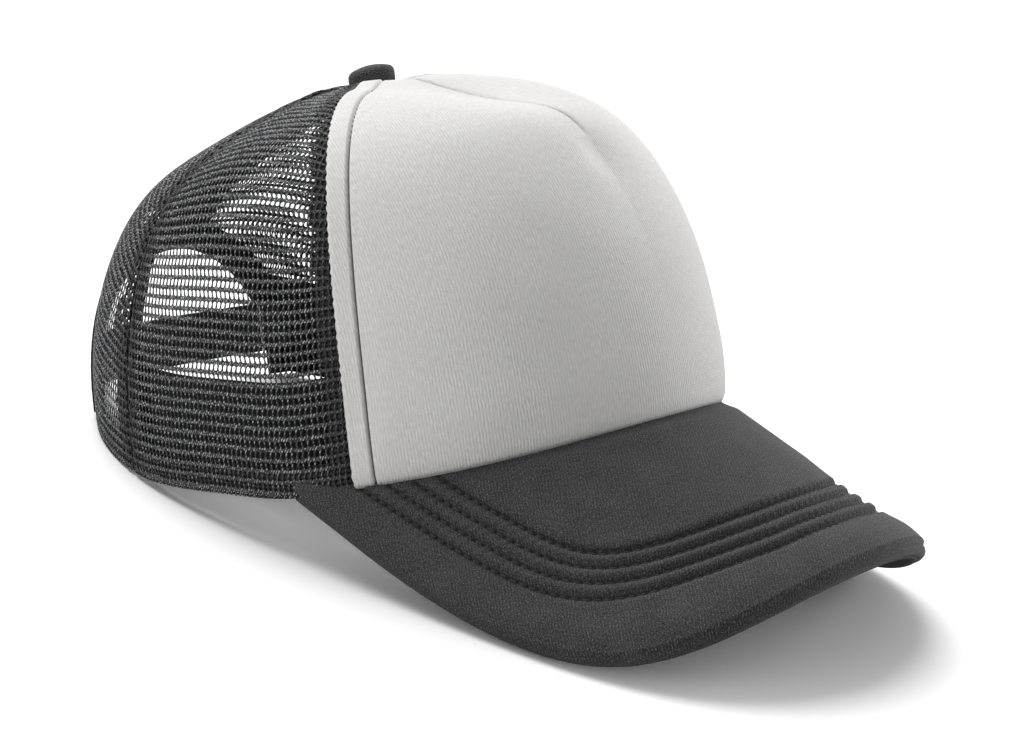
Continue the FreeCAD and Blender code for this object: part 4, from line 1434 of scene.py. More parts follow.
@dataclass
class Peak:
    """Padded twill peak, bent about an axis along it, with four rows of stitching round its edge.

    Cloth places are a across the bend, positive on the wearer's left, and l along the peak, in mm.
    """

    bend: float = 88.0
    pitch: float = 34.5
    start: float = 10.0
    reach: float = 158.5
    half: float = 80.2
    square: float = 50.0
    corner: float = 146.0
    cheek: float = 70.0
    taper: float = -0.3
    root_end: float = 78.0
    thick: float = 4.64
    round_edge: float = 2.2
    skin: float = 0.7
    under_skin: float = 0.6
    rows: int = 4
    row_deep: float = 0.95
    row_wide: float = 0.8
    row_pitch: float = 3.0
    space: float = 5.2
    turn_from: float = 0.94
    shallow_at: float = 43.0
    inner_row: tuple[tuple[float, float], ...] = (
        (72.0, 70.0), (71.5, 84.3), (70.6, 94.7), (69.1, 103.3), (68.1, 112.3), (66.2, 120.4),
        (63.2, 127.8), (56.5, 134.9), (46.5, 140.8), (34.0, 145.4), (18.0, 149.2), (0.0, 150.4))
    outer_row: tuple[tuple[float, float], ...] = (
        (88.2, 52.0), (87.2, 66.7), (86.2, 78.0), (85.2, 93.0), (83.5, 106.3), (81.2, 119.3),
        (77.4, 130.6), (71.2, 140.4), (60.0, 149.4), (46.0, 156.2), (26.0, 162.6), (0.0, 164.6))

    def place(self, a: Array, l: Array, out: Array | float = 0.0) -> Array:
        """Places in the head's frame, a distance in mm above the peak's top.

        Args:
            a: distances across the bend.
            l: distances along the peak.
            out: distances above the top.

        Returns:
            Places x, y, z in mm.
        """
        theta, pitch = np.asarray(a) / self.bend, math.radians(self.pitch)
        radius = self.bend + np.asarray(out)
        foot = (CROWN.rim_front - self.start) * math.tan(pitch)
        across, above = radius * np.sin(theta), radius * np.cos(theta) - self.bend
        return np.stack([across, -self.start - l * math.cos(pitch) - above * math.sin(pitch),
                         foot - l * math.sin(pitch) + above * math.cos(pitch)], -1)

    def up(self, a: Array) -> Array:
        """Outward directions on the peak's top.

        Args:
            a: distances across the bend.

        Returns:
            Unit directions.
        """
        theta, pitch = np.asarray(a) / self.bend, math.radians(self.pitch)
        return np.stack([np.sin(theta), -np.cos(theta) * math.sin(pitch),
                         np.cos(theta) * math.cos(pitch)], -1)

    def below(self) -> Vector:
        """A place under the peak, in metres."""
        return Vector(CAP.world(self.place(np.array(0.0), np.array(120.0), -60.0)))

    def tangent(self, half: float) -> float:
        """Tangent of the turn of the bend at a half width."""
        return half / math.sqrt(self.bend ** 2 - half ** 2)

    def edge(self) -> Array:
        """The outline from the root on the wearer's right round the front to the left, as rows of a, l.

        Returns:
            Places a, l.
        """
        wide = self.tangent(self.half)
        front = (self.reach - self.start) / math.cos(math.radians(self.pitch))
        pole = np.array([[0, front], [self.tangent(self.square), front], [wide, self.corner],
                         [wide, self.cheek]])
        curve = bezier(np.linspace(0, 1, 200)[:, None], *pole)
        t = np.linspace(0, 1, 120)[1:, None]
        straight = pole[3] * (1 - t) + np.array([self.tangent(self.half - self.taper), 0]) * t
        half = np.concatenate([curve, straight])
        half[:, 0] = self.bend * np.arctan(half[:, 0])
        end = -(CROWN.rim_front - 1.6) * math.cos(math.radians(self.root_end))
        behind = self.place(half[:, 0], half[:, 1])[:, 1] > end
        half = half[:len(half) - int(behind.sum())]
        whole = np.concatenate([half[::-1] * [-1, 1], half[1:]])
        return self.evenly(whole, 400)

    @staticmethod
    def evenly(path: Array, count: int) -> Array:
        """A path with its points spaced evenly."""
        run = run_of(path)
        return read_along(np.linspace(0, run[-1], count), run, path)

    def root(self) -> Array:
        """The oval that the peak is sewn along, from the wearer's right to the left, as rows of a, l.

        Returns:
            Places a, l.
        """
        turn = np.radians(np.linspace(-self.root_end, self.root_end, 400))
        x = (CROWN.rim_side - 1.6) * np.sin(turn)
        y = -(CROWN.rim_front - 1.6) * np.cos(turn)
        pitch = math.radians(self.pitch)
        drop = self.bend - np.sqrt(self.bend ** 2 - x ** 2)
        return np.stack([self.bend * np.arcsin(x / self.bend),
                         (-y - self.start + drop * math.sin(pitch)) / math.cos(pitch)], 1)

    def row_paths(self) -> list[Array]:
        """The rows of stitching, from the inner to the outer, as rows of a, l."""
        inner, outer = (self.smooth_row(row) for row in (self.inner_row, self.outer_row))
        return [inner + (outer - inner) * k / (self.rows - 1) for k in range(self.rows)]

    def smooth_row(self, half: tuple[tuple[float, float], ...]) -> Array:
        """A row from points along its half, mirrored and smoothed.

        Args:
            half: its points from the root to the middle.

        Returns:
            Places a, l, evenly spaced.
        """
        side = np.array(half)
        whole = self.evenly(np.concatenate([side * [-1, 1], side[-2::-1]]), 240)
        for _ in range(30):
            whole[1:-1] = (whole[:-2] + 2 * whole[1:-1] + whole[2:]) / 4
        return whole

    @staticmethod
    def away(points: Array, path: Array) -> tuple[Array, Array]:
        """Distance of points from a path, and how far along it they are.

        Args:
            points: the places.
            path: the path's points.

        Returns:
            Both, in mm.
        """
        best, run, start = np.full(len(points), 1e9), np.zeros(len(points)), 0.0
        for one, two in zip(path[:-1], path[1:]):
            leg = two - one
            long = float(np.linalg.norm(leg))
            share = np.clip((points - one) @ leg / long ** 2, 0, 1)
            gap = np.linalg.norm(points - one - share[:, None] * leg, axis=1)
            run = np.where(gap < best, start + share * long, run)
            best, start = np.minimum(best, gap), start + long
        return best, run

    def from_rows(self, flat: Array) -> tuple[Array, Array]:
        """Distances of places on the cloth from each row, and how far along it they are."""
        found = [self.away(flat, row[::2]) for row in self.row_paths()]
        return np.array([gap for gap, _ in found]), np.array([run for _, run in found])

    def across_rows(self, flat: Array) -> Array:
        """Counts the rows from 10 for the innermost, with parts between, and the run along the nearest.

        Args:
            flat: places a, l on the cloth.

        Returns:
            The count and the run for each.
        """
        gaps, runs = self.from_rows(flat)
        pair = np.argmin(gaps[:-1] + gaps[1:], axis=0)
        pick = np.arange(len(flat))
        between = pair + gaps[pair, pick] / (gaps[pair, pick] + gaps[pair + 1, pick])
        within = (gaps[1] > self.space * 1.04) & (gaps[0] < gaps[1])
        beyond = (gaps[-2] > self.space * 1.04) & (gaps[-1] < gaps[-2])
        outside = np.where(beyond, self.rows - 1 + gaps[-1] / self.space, between)
        count = np.where(within, -gaps[0] / self.space, outside)
        return np.stack([count + 10, runs[np.argmin(gaps, axis=0), pick]], 1)

    def relief(self, flat: Array, to_edge: Array, to_root: Array) -> Array:
        """How far the quilted top stands out at places on the cloth.

        Args:
            flat: places a, l.
            to_edge: their distance to the outline.
            to_root: their distance to the root.

        Returns:
            Distances outward in mm.
        """
        gaps, runs = self.from_rows(flat)
        nearest = gaps.min(0)
        pulls = np.sum(np.cos(2 * math.pi * runs / self.row_pitch + math.pi) * bump(gaps - 1.3, 0.8), axis=0)
        shallow = 1 - 0.5 * bump(flat[:, 0] - self.shallow_at, 8)
        out = (0.85 * step(nearest, 0, 2.7) - self.row_deep * bump(nearest, self.row_wide)) * shallow
        out += 0.34 * pulls * shallow
        out += 0.9 * bump(to_edge - 7.5, 5.5) * step(nearest, 0, 5)
        out += 0.5 * step(gaps[0], 2, 14)
        out += 0.16 * ripple(*flat.T / 14, 12) + 0.05 * ripple(*flat.T / 4, 14)
        return out * step(to_root, 1.5, 7) - 0.12

    def sheet(self, u: Array, v: Array, inset: float) -> tuple[Array, Array, Array]:
        """Cloth places between the root at v = 0 and the outline at v = 1, drawn in by an inset.

        Args:
            u: places from the wearer's right, at 0, round to the left, at 1.
            v: places outward.
            inset: how far inside the outline v = 1 lies, in mm.

        Returns:
            Places a, l; distance to the outline; and the outline's outward direction.
        """
        edge, root = self.edge(), self.root()
        along = unit(np.gradient(edge, axis=0))
        aside = np.stack([-along[:, 1], along[:, 0]], 1)
        aside *= np.sign(np.sum(aside * (edge - [0, 60]), 1))[:, None]
        place = u * (len(edge) - 1)
        low = np.minimum(place.astype(int), len(edge) - 2)
        part = (place - low)[:, None]
        rim = edge[low] * (1 - part) + edge[low + 1] * part
        foot = root[low] * (1 - part) + root[low + 1] * part
        out = unit(aside[low] * (1 - part) + aside[low + 1] * part)
        rim = rim - out * inset
        flat = foot + (rim - foot) * v[:, None]
        return flat, np.linalg.norm(rim - foot, axis=1) * (1 - v) + inset, out

    def top(self, material: bpy.types.Material) -> bpy.types.Object:
        """Builds the top twill, quilted and turned down round the edge.

        Args:
            material: the twill.

        Returns:
            The piece.
        """
        obj = grid("peak_top_twill", 360, 128)

        def drawn(v: Array) -> Array:
            """Draws rows together toward the edge, for the part of the blank that stays on top."""
            on_top = np.clip(v / self.turn_from, 0, 1)
            return on_top * 0.35 + 0.65 * (1 - (1 - on_top) ** 1.35)

        def place(u: Array, v: Array) -> Array:
            """Puts the twill on the peak and rolls it over the edge."""
            on_top = drawn(v)
            flat, to_edge, out = self.sheet(u, on_top, self.round_edge)
            span = np.maximum(to_edge - self.round_edge, 0) / np.maximum(1 - on_top, 1e-6)
            relief = self.relief(flat, to_edge, span * on_top)
            roll = np.clip((v - self.turn_from) / (1 - self.turn_from), 0, 1) * math.radians(168)
            full = 1 + 0.12 * np.sin(roll)
            flat = flat + out * (self.round_edge * np.sin(roll) * full)[:, None]
            drop = self.thick / 2 * (1 - np.cos(roll)) * 0.98
            return CAP.world(self.place(flat[:, 0], flat[:, 1], relief * np.cos(roll / 2) ** 2 - drop))

        def cloth(u: Array, v: Array) -> Array:
            """Lays the twill flat."""
            flat, _, out = self.sheet(u, drawn(v), self.round_edge)
            return flat + out * (np.clip(v - self.turn_from, 0, 1) / (1 - self.turn_from) * 6)[:, None]

        def edges(u: Array, v: Array) -> Array:
            """Counts the rows of stitching."""
            return self.across_rows(cloth(u, v))

        shape(obj, place, cloth, edges)
        thicken(obj, self.below(), self.skin)
        dress(obj, material, stands_for=("peak_top_cover", "peak_padding", "peak_board"))
        return obj

    def underside(self, material: bpy.types.Material) -> bpy.types.Object:
        """Builds the twill below, sewn to the turned-down edge.

        Args:
            material: the twill.

        Returns:
            The piece.
        """
        obj = grid("peak_under_twill", 220, 70)

        def place(u: Array, v: Array) -> Array:
            """Puts the twill under the peak."""
            flat, to_edge, _ = self.sheet(u, v, 0.9)
            nearest = np.minimum.reduce([self.away(flat, row[::2])[0] for row in self.row_paths()])
            lower = 0.35 * step(nearest, 0, 2.5) - 0.3 * bump(nearest, 0.9)
            lower += 0.1 * ripple(flat[:, 0] / 12, flat[:, 1] / 12, 21)
            lower *= step(to_edge, 0.9, 4)
            return CAP.world(self.place(flat[:, 0], flat[:, 1], -self.thick + 0.25 - lower))

        shape(obj, place, lambda u, v: self.sheet(u, v, 0.9)[0] * [-1, 1])
        thicken(obj, self.below(), self.under_skin)
        dress(obj, material, stands_for=("peak_under_cover",))
        return obj

    def sew(self, thread: bpy.types.Material) -> None:
        """Sews the four rows through both faces.

        Args:
            thread: the thread's finish.
        """
        top, below = (
            Stitching(name, thread, "peak_twill", pitch=self.row_pitch, length=2.2, radius=0.24)
            for name in ("peak_rows_above", "peak_rows_below"))
        for row in self.row_paths():
            far = np.full(len(row), 20.0)
            relief = self.relief(row, far, far)
            normal = CAP.turned(self.up(row[:, 0]))
            top.add(CAP.world(self.place(row[:, 0], row[:, 1], relief + 0.1)), normal)
            below.add(CAP.world(self.place(row[:, 0], row[:, 1], -self.thick + 0.25 + 0.3)), -normal)
        top.build()
        below.build()


# ---- tapes, binding and sweatband --------------------------------------------------------------------


@dataclass
class SeamTapes:
    """Tapes sewn over the seams inside, each with a row of stitches near both edges.

    The cut size of each tape is logged.
    """

    wide: float = 12.0
    side_wide: float = 8.0
    back_wide: float = 18.0
    front_deep: float = 4.4
    side_deep: float = 1.7
    back_deep: float = 2.3
    narrowest: float = 10.0
    skin: float = 0.7
    stop: float = 15.0
    inset: float = 1.6

    def one(self, name: str, angle: float, depth: float, wide: float, start: float,
            material: bpy.types.Material, sewing: Stitching) -> bpy.types.Object:
        """Builds one tape from a height above the rim up to the button.

        Args:
            name: the CAD node that it stands for, from which its own name comes.
            angle: the seam's rim angle.
            depth: how far inside the crown's outside the tape lies.
            wide: its width.
            start: the rise at which it starts.
            material: its finish.
            sewing: where its stitches go.

        Returns:
            The piece.
        """
        fine = np.linspace(start, 1, 200)
        line = CROWN.point(np.full(200, angle), fine)
        end = float(np.interp(-self.stop, -np.hypot(line[:, 0], line[:, 1]), fine))
        obj = grid(name.replace("seam_tape", "tape"), 8, 70)

        def spot(u: Array, v: Array, out: float) -> Array:
            """Places across and along the tape."""
            rise = start + (end - start) * v
            turn = np.full_like(v, angle)
            centre = CROWN.at(turn, rise, -depth + 0.12 * np.sin(v * 23) + out)
            across = unit(CROWN.point(turn - 0.3, rise) - CROWN.point(turn + 0.3, rise))
            sag = CROWN.normal(turn, rise) * (-0.9 * (2 * u - 1) ** 2 * (wide / 18))[:, None]
            return CAP.world(centre + across * ((u - 0.5) * wide)[:, None] + sag)

        length = float(np.linalg.norm(np.diff(line[fine <= end], axis=0), axis=1).sum())
        shape(obj, lambda u, v: spot(u, v, 0.0), lambda u, v: np.stack([u * wide, v * length], 1))
        thicken(obj, HEART, self.skin)
        dress(obj, material, stands_for=(name,))
        LOG.info("%s: cut %.0f x %.0f mm", obj.name, wide, length)
        v = np.linspace(0.01, 0.99, 80)
        outward = CAP.turned(CROWN.normal(np.full_like(v, angle), start + (end - start) * v))
        for u in (self.inset / wide, 1 - self.inset / wide):
            sewing.add(spot(np.full_like(v, u), v, -self.skin - 0.1), -outward)
            if depth < self.front_deep:
                sewing.add(spot(np.full_like(v, u), v, depth - 0.05), outward)
        return obj

    def build(self, material: bpy.types.Material, thread: bpy.types.Material) -> None:
        """Builds the five tapes and their stitches.

        Args:
            material: the tape's finish.
            thread: the thread's.
        """
        sewing = Stitching("tape_stitches", thread, "seam_tape", pitch=3.4, length=2.4, radius=0.22)
        for side in Side:
            self.one(side.piece("front_seam_tape"), CROWN.seam_front * side.value, self.front_deep, self.wide,
                     0.01, material, sewing)
            self.one(side.piece("side_seam_tape"), CROWN.seam_side * side.value, self.side_deep,
                     self.side_wide, 0.01, material, sewing)
        fine = np.linspace(0, 1, 400)
        up = CROWN.point(np.full(400, 180.0), fine)[:, 2]
        start = float(np.interp(CROWN.arch_centre + CROWN.arch_radius + 0.4, up, fine))
        self.one("back_seam_tape", 180.0, self.back_deep, self.back_wide, start, material, sewing)
        sewing.build()


def find_on_back(x: Array, z: Array) -> tuple[Array, Array]:
    """Rim angle and rise of the places on the crown's back seen at x and z from behind.

    Args:
        x: places across, in mm in the head's frame.
        z: places up.

    Returns:
        Rim angles and rises.
    """
    angle = 180 - np.degrees(np.arcsin(np.clip(np.abs(x) / 82, 0, 0.98)))
    rise = np.clip((z - 18) / 140, 0.0, 0.5)
    for _ in range(14):
        here = CROWN.point(angle, rise)
        by_angle = (here - CROWN.point(angle - 0.05, rise)) / 0.05
        by_rise = (CROWN.point(angle, rise + 0.001) - here) / 0.001
        miss_x, miss_z = -np.abs(x) - here[..., 0], z - here[..., 2]
        det = by_angle[..., 0] * by_rise[..., 2] - by_rise[..., 0] * by_angle[..., 2]
        det = np.where(np.abs(det) < 1e-6, 1e-6, det)
        turn = (miss_x * by_rise[..., 2] - by_rise[..., 0] * miss_z) / det
        climb = (by_angle[..., 0] * miss_z - miss_x * by_angle[..., 2]) / det
        angle = np.clip(angle + np.clip(turn, -6, 6), 116, 180)
        rise = np.clip(rise + np.clip(climb, -0.1, 0.1), -0.1, 0.9)
    return angle * np.where(x > 0, -1, 1), rise


@dataclass
class ArchBinding:
    """Woven tape folded over the cut edge of the rear opening and sewn through."""

    skin: float = 0.6
    leg: float = 7.5
    sewn_at: float = 4.4
    pitch: float = 3.1
    long: float = 140.0
    around: float = 16.0
    section: tuple[tuple[float, float], ...] = (
        (7.0, 0.15), (6.7, 0.5), (5.2, 0.62), (4.4, 0.45), (3.2, 0.7), (1.6, 0.72), (0.2, 0.6),
        (-0.7, 0.1), (-0.95, -0.6), (-0.7, -1.3), (0.3, -1.8), (1.8, -1.9), (3.4, -1.75), (4.5, -1.55),
        (5.4, -1.7), (6.6, -1.6), (7.0, -1.3))

    def outline(self, beyond: Array, along: Array) -> tuple[Array, Array]:
        """Places x, z on the opening's outline, at a distance beyond it.

        Args:
            beyond: distance outward from the opening's edge, in mm.
            along: 0 at the rim on the wearer's right, over the top, to 1 at the rim on the left.

        Returns:
            Places x and z in mm in the head's frame.
        """
        arc = math.pi * CROWN.arch_radius
        run = along * (arc + 2 * self.leg) - self.leg
        turn = np.clip(run / CROWN.arch_radius, 0, math.pi)
        radius = CROWN.arch_radius + beyond
        x, z = -radius * np.cos(turn), CROWN.arch_centre + radius * np.sin(turn)
        return x, z + np.minimum(run, 0) - np.maximum(run - arc, 0)

    def spot(self, beyond: Array, out: Array, along: Array) -> tuple[Array, Array]:
        """Places in metres and outward directions round the opening.

        Args:
            beyond: distances outward from the opening's edge, in mm.
            out: distances outside the crown.
            along: as outline takes it.

        Returns:
            The places and the directions.
        """
        angle, rise = find_on_back(*self.outline(beyond, along))
        normal = CROWN.normal(angle, rise)
        return CAP.world(CROWN.point(angle, rise) + normal * out[:, None]), normal

    def build(self, material: bpy.types.Material, thread: bpy.types.Material) -> None:
        """Builds the binding and its stitches.

        Args:
            material: the tape's finish.
            thread: the thread's.
        """
        obj = grid("arch_binding_tape", 150, 34)
        section = np.array(self.section)
        run = run_of(section)
        run /= run[-1]

        def place(u: Array, v: Array) -> Array:
            """Folds the tape over the edge."""
            beyond, out = np.interp(v, run, section[:, 0]), np.interp(v, run, section[:, 1])
            pucker = 0.07 * np.sin(u * self.long / self.pitch * 2 * math.pi)
            pucker *= bump(beyond - self.sewn_at, 2)
            return self.spot(beyond, out + np.sign(out) * pucker, u)[0]

        shape(obj, place, lambda u, v: np.stack([v * self.around, u * self.long], 1))
        finish_mesh(obj)
        apply_modifier(obj, "SOLIDIFY", thickness=self.skin * 0.6 * MM, offset=0)
        finish_mesh(obj)
        dress(obj, material, stands_for=("arch_binding",))
        sewing = Stitching("binding_stitches", thread, "binding_tape", pitch=self.pitch, length=2.3,
                           radius=0.24)
        along = np.linspace(0.01, 0.99, 160)
        for out, sign in ((0.66, 1), (-1.76, -1)):
            path, normal = self.spot(np.full(160, self.sewn_at), np.full(160, out), along)
            sewing.add(path, CAP.turned(normal) * sign)
        sewing.build()


@dataclass
class Sweatband:
    """Twill band inside the rim, folded over its stiffener at the top and sewn near the rim."""

    tall: float = 31.0
    skin: float = 1.0
    lean: float = 0.09
    foot: float = 0.35
    deep: tuple[float, ...] = (3.6, 3.6, 4.1, 5.3, 4.2, 3.0, 2.9, 6.2, 6.6, 6.6)

    def stations(self) -> Array:
        """Rim angles of the stations that the depths belong to.

        Returns:
            The angles in degrees, from the forehead back.
        """
        seams = (0.0, CROWN.seam_front, CROWN.seam_side, 180.0)
        within = [start + (end - start) * k / 3 for start, end in zip(seams, seams[1:]) for k in range(3)]
        return np.array(within + [180.0])

    def spot(self, angle: Array, up: Array, inward: Array) -> Array:
        """Places in the head's frame on the band, a height above its foot and a distance inward.

        Args:
            angle: rim angles.
            up: heights in mm.
            inward: distances in mm.

        Returns:
            Places x, y, z in mm.
        """
        size = np.abs(angle)
        pole = CROWN.point(angle, np.zeros_like(angle))
        radius = np.hypot(pole[:, 0], pole[:, 1])
        full = np.interp(size, (0, CROWN.seam_front, CROWN.seam_side, 180),
                         (CROWN.full_front, CROWN.full_seam, CROWN.full_side, CROWN.full_back))
        depth = np.interp(size, self.stations(), self.deep) + 0.85 + inward
        depth = depth + self.lean * (1 - full) * radius * up / self.tall
        return np.column_stack([pole[:, :2] * ((radius - depth) / radius)[:, None],
                                pole[:, 2] + self.foot + up])

    def ends(self, up: Array) -> Array:
        """Rim angle at which the band stops for the rear opening, at heights above its foot.

        Args:
            up: the heights in mm.

        Returns:
            An angle for each.
        """
        angle = np.linspace(125, 179, 109)
        net = self.spot(np.tile(angle, len(up)), np.repeat(up, len(angle)), np.zeros(len(up) * len(angle)))
        clear = ~CROWN.in_arch(net, 1.4)
        clear = clear.reshape(len(up), -1)
        return angle[np.argmin(clear, axis=1) - 1]

    def build(self, material: bpy.types.Material, thread: bpy.types.Material) -> None:
        """Builds the band and its stitches.

        Args:
            material: the twill's finish.
            thread: the thread's.
        """
        obj = grid("sweatband_twill", 320, 30)
        heights = np.linspace(0, self.tall, 31)
        stops = self.ends(heights)

        def spot(u: Array, up: Array, inward: Array) -> Array:
            """Places across the band from end to end."""
            angle = (u * 2 - 1) * np.interp(up, heights, stops)
            return CAP.world(self.spot(angle, up, inward))

        def place(u: Array, v: Array) -> Array:
            """Puts the band round the head with its folded top edge."""
            up = v * self.tall
            inward = 0.5 * bump(up - self.tall + 1.2, 1.4) + 0.35 * bump(up - 14, 7)
            inward -= 0.3 * bump(up - 5, 0.8)
            inward -= 0.3 * bump(up - self.tall + 3.4, 0.7)
            inward += 0.3 * ripple(u * 26, v * 1.6, 31)
            return spot(u, up, inward)

        shape(obj, place, lambda u, v: np.stack([u * 520, v * self.tall], 1))
        thicken(obj, HEART, self.skin)
        dress(obj, material, stands_for=("sweatband_core", "sweatband_cover"))
        sewing = Stitching("sweatband_stitches", thread, "band_cloth", pitch=3.4, length=2.5, radius=0.24)
        u = np.linspace(0.005, 0.995, 500)
        for up in (5.0, self.tall - 3.4):
            inside = spot(u, np.full_like(u, up), np.full_like(u, self.skin + 0.05))
            outside = spot(u, np.full_like(u, up), np.full_like(u, 0.0))
            sewing.add(inside, inside - outside)
        sewing.build()


# ---- the button -----------------------------------------------------------------------------------------


@dataclass
class Button:
    """Covered button on the crown: twill drawn tight over a domed cap and gathered beneath."""

    radius: float = 7.1
    tall: float = 6.0
    wall: float = 2.9
    shoulder: float = 2.2
    foot: float = 103.25
    skin: float = 0.6
    lean: tuple[float, float] = (0.05, -0.07)

    def profile(self) -> Array:
        """The dome's outline from its gathered foot to the top, as rows of radius and height.

        Returns:
            Rows of radius and height in mm.
        """
        away, rise = self.radius - self.shoulder, self.tall - self.wall
        dome = (away ** 2 + rise ** 2 - self.shoulder ** 2) / (2 * (rise - self.shoulder))
        centre = self.foot + self.tall - dome
        join = math.atan2(away, self.foot + self.wall - centre)
        foot = [(self.radius - inward, self.foot + up)
                for inward, up in ((1.9, 0.0), (0.7, -0.05), (0.15, 0.5))]
        side = [(self.radius, self.foot + self.wall * k / 4) for k in range(2, 5)]
        edge = [(away + self.shoulder * math.cos(t), self.foot + self.wall + self.shoulder * math.sin(t))
                for t in np.linspace(0.2, math.pi / 2 - join, 8)]
        top = [(dome * math.sin(t), centre + dome * math.cos(t)) for t in np.linspace(join * 0.9, 0, 12)]
        return np.array(foot + side + edge + top)

    def build(self, material: bpy.types.Material) -> bpy.types.Object:
        """Builds the cloth cover.

        Args:
            material: the twill.

        Returns:
            The piece.
        """
        obj = grid("button_twill", 96, 44)
        profile = self.profile()
        run = run_of(profile)
        run /= run[-1]

        def place(u: Array, v: Array) -> Array:
            """Turns the outline round the crown's axis, with gathers near the foot."""
            turn = u * 2 * math.pi
            out, up = np.interp(v, run, profile[:, 0]), np.interp(v, run, profile[:, 1])
            gather = 0.16 * np.sin(turn * 15 + 0.7 * np.sin(turn * 3)) * step(v, 0.38, 0.05)
            out = out + gather + 0.05 * np.sin(turn * 2 + 1)
            x, y = out * np.cos(turn), out * np.sin(turn)
            lean = (self.lean[0] * x + self.lean[1] * y) * step(v, 0.15, 0.5)
            return CAP.world(np.stack([x, y, up + lean], 1))

        def cloth(u: Array, v: Array) -> Array:
            """Lays the cover flat, as the disc it was cut from."""
            turn, reach = u * 2 * math.pi, (1 - v) * 13
            return np.stack([reach * np.cos(turn), reach * np.sin(turn)], 1)

        shape(obj, place, cloth)
        mesh = bmesh.new()
        mesh.from_mesh(obj.data)
        bmesh.ops.remove_doubles(mesh, verts=mesh.verts, dist=0.004 * MM)
        mesh.to_mesh(obj.data)
        mesh.free()
        thicken(obj, Vector(CAP.world(np.array([0.0, 0.0, self.foot]))), self.skin)
        dress(obj, material, stands_for=("button_cover",))
        return obj


# ---- parts kept from the frame ------------------------------------------------------------------------


def dress_nodes(material: bpy.types.Material, names: tuple[str, ...]) -> None:
    """Gives CAD nodes a finish.

    Args:
        material: the finish.
        names: the nodes' names.
    """
    for name in names:
        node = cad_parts[name]
        node.data.materials.clear()
        node.data.materials.append(material)
        LOG.info("%s: finish %s", name, material.name)


# ---- light, floor and camera ------------------------------------------------------------------------------


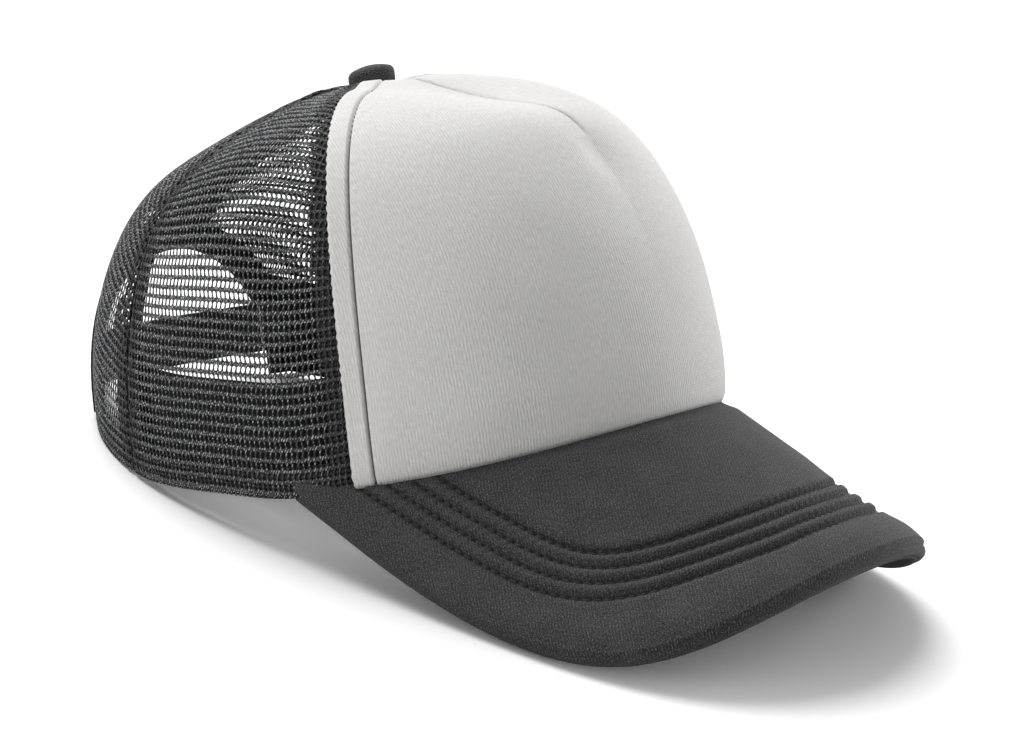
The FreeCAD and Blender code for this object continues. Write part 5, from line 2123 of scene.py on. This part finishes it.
@dataclass
class Studio:
    """A plain pale floor, soft lamps and the camera."""

    place: tuple[float, float, float] = (-0.632297, -0.443646, 0.273228)
    right: tuple[float, float, float] = (0.59952, -0.785586, 0.15307)
    up: tuple[float, float, float] = (0.140947, 0.291892, 0.946009)
    back: tuple[float, float, float] = (-0.787852, -0.545576, 0.285721)
    lens: float = 95.75
    sky: float = 0.33
    suns: tuple[tuple[str, tuple[float, float, float], float, float], ...] = (
        ("ceiling", (0.1, 0.55, 0.83), 2.65, 0.8),
        ("window_left", (0.9, -0.4, 0.15), 2.25, 0.7),
        ("window_right", (-0.85, 0.35, 0.0), 2.15, 0.7))
    floor_tone: float = 1.15

    def camera(self) -> None:
        """Places the camera."""
        data = bpy.data.cameras.new("camera")
        data.sensor_width, data.lens = 36.0, self.lens
        data.clip_start, data.clip_end = 0.01, 50
        obj = bpy.data.objects.new("camera", data)
        columns = np.column_stack([self.right, self.up, self.back])
        matrix = Matrix(columns.tolist()).to_4x4()
        matrix.translation = self.place
        obj.matrix_world = matrix
        bpy.context.scene.camera = link_new(obj)

    def floor(self) -> None:
        """Builds the floor, pale and plain."""
        only()
        bpy.ops.mesh.primitive_plane_add(size=60, location=(0, 0, -0.0002))
        obj = bpy.context.object
        obj.name = "floor"
        mix = Recipe("pale_paper_floor")
        seen = mix.seen() | mix.add("LightPath", out="Is Transmission Ray")
        shade = mix.coats((0.44, 0.44, 0.44, 1), (mix.cloud(mix.space(), 300.0), (0.46, 0.46, 0.46, 1)),
                          (seen, (self.floor_tone,) * 3 + (1,)))
        obj.data.materials.append(mix.finish(shade, 1.0, Specular_IOR_Level=0.0))

    def world(self) -> None:
        """Lights the whole room softly, and shows it white."""
        world = bpy.data.worlds.new("room")
        bpy.context.scene.world = world
        world.use_nodes = True
        nodes = Nodes(world.node_tree)
        back = nodes.tree.nodes["Background"]
        nodes.feed(back.inputs["Strength"], nodes.add("MapRange", nodes.seen(), 0.0, 1.0, self.sky, 1.0))
        nodes.feed(back.inputs["Color"], (1, 1, 1, 1))

    def lamps(self) -> None:
        """Lights the cap from above and from both sides, each as through a wide soft window."""
        for name, toward, power, spread in self.suns:
            data = bpy.data.lights.new(name, "SUN")
            data.energy, data.angle = power, spread
            obj = bpy.data.objects.new(name, data)
            obj.rotation_euler = Vector(toward).to_track_quat("Z", "Y").to_euler()
            link_new(obj)

    def build(self) -> None:
        """Sets the room up."""
        self.floor()
        self.world()
        self.lamps()
        self.camera()
        bpy.context.scene.view_settings.view_transform = "Standard"


# ---- all together -----------------------------------------------------------------------------------------


def main() -> None:
    """Builds the cap's looks piece by piece."""
    logging.basicConfig(level=logging.INFO, format="%(message)s", stream=sys.stdout)
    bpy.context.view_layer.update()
    charcoal = Twill("charcoal_cotton_twill", "2a2a2b", "848486", "131314").make()
    band_twill = Twill("black_cotton_twill", "19191a", "3e3e42", "0c0c0d").make()
    tape = WovenTape("black_woven_seam_tape", "0a0a0b", "19191b").make()
    binding = WovenTape("black_woven_binding", "131314", "343438").make()
    knit, foam, net = Knit().make(), Foam().make(), NetYarn().make()
    grey_thread = Thread("grey_polyester_thread", "3b3a39", "6a6967").make()
    dark_thread = Thread("charcoal_polyester_thread", "18181a", "303033").make()

    panel = FrontPanel()
    panel.face(knit)
    panel.lining(foam)
    seams = Stitching("front_crease_stitches", grey_thread, "front_knit", pitch=2.5, length=2.1,
                      radius=0.16)
    for side in Side:
        seams.add(*panel.crease(side))
    seams.build()
    NetPanels().build(net)
    peak = Peak()
    peak.top(charcoal)
    peak.underside(charcoal)
    peak.sew(dark_thread)
    SeamTapes().build(tape, dark_thread)
    ArchBinding().build(binding, dark_thread)
    Sweatband().build(band_twill, dark_thread)
    Button().build(charcoal)
    dress_nodes(Moulded().make(), ("hole_strap", "stud_strap", "strap_tab_right", "strap_tab_left"))
    dress_nodes(Steel().make(), ("button_shell", "button_rivet", "button_washer"))
    Studio().build()


if __name__ == "__main__":
    main()
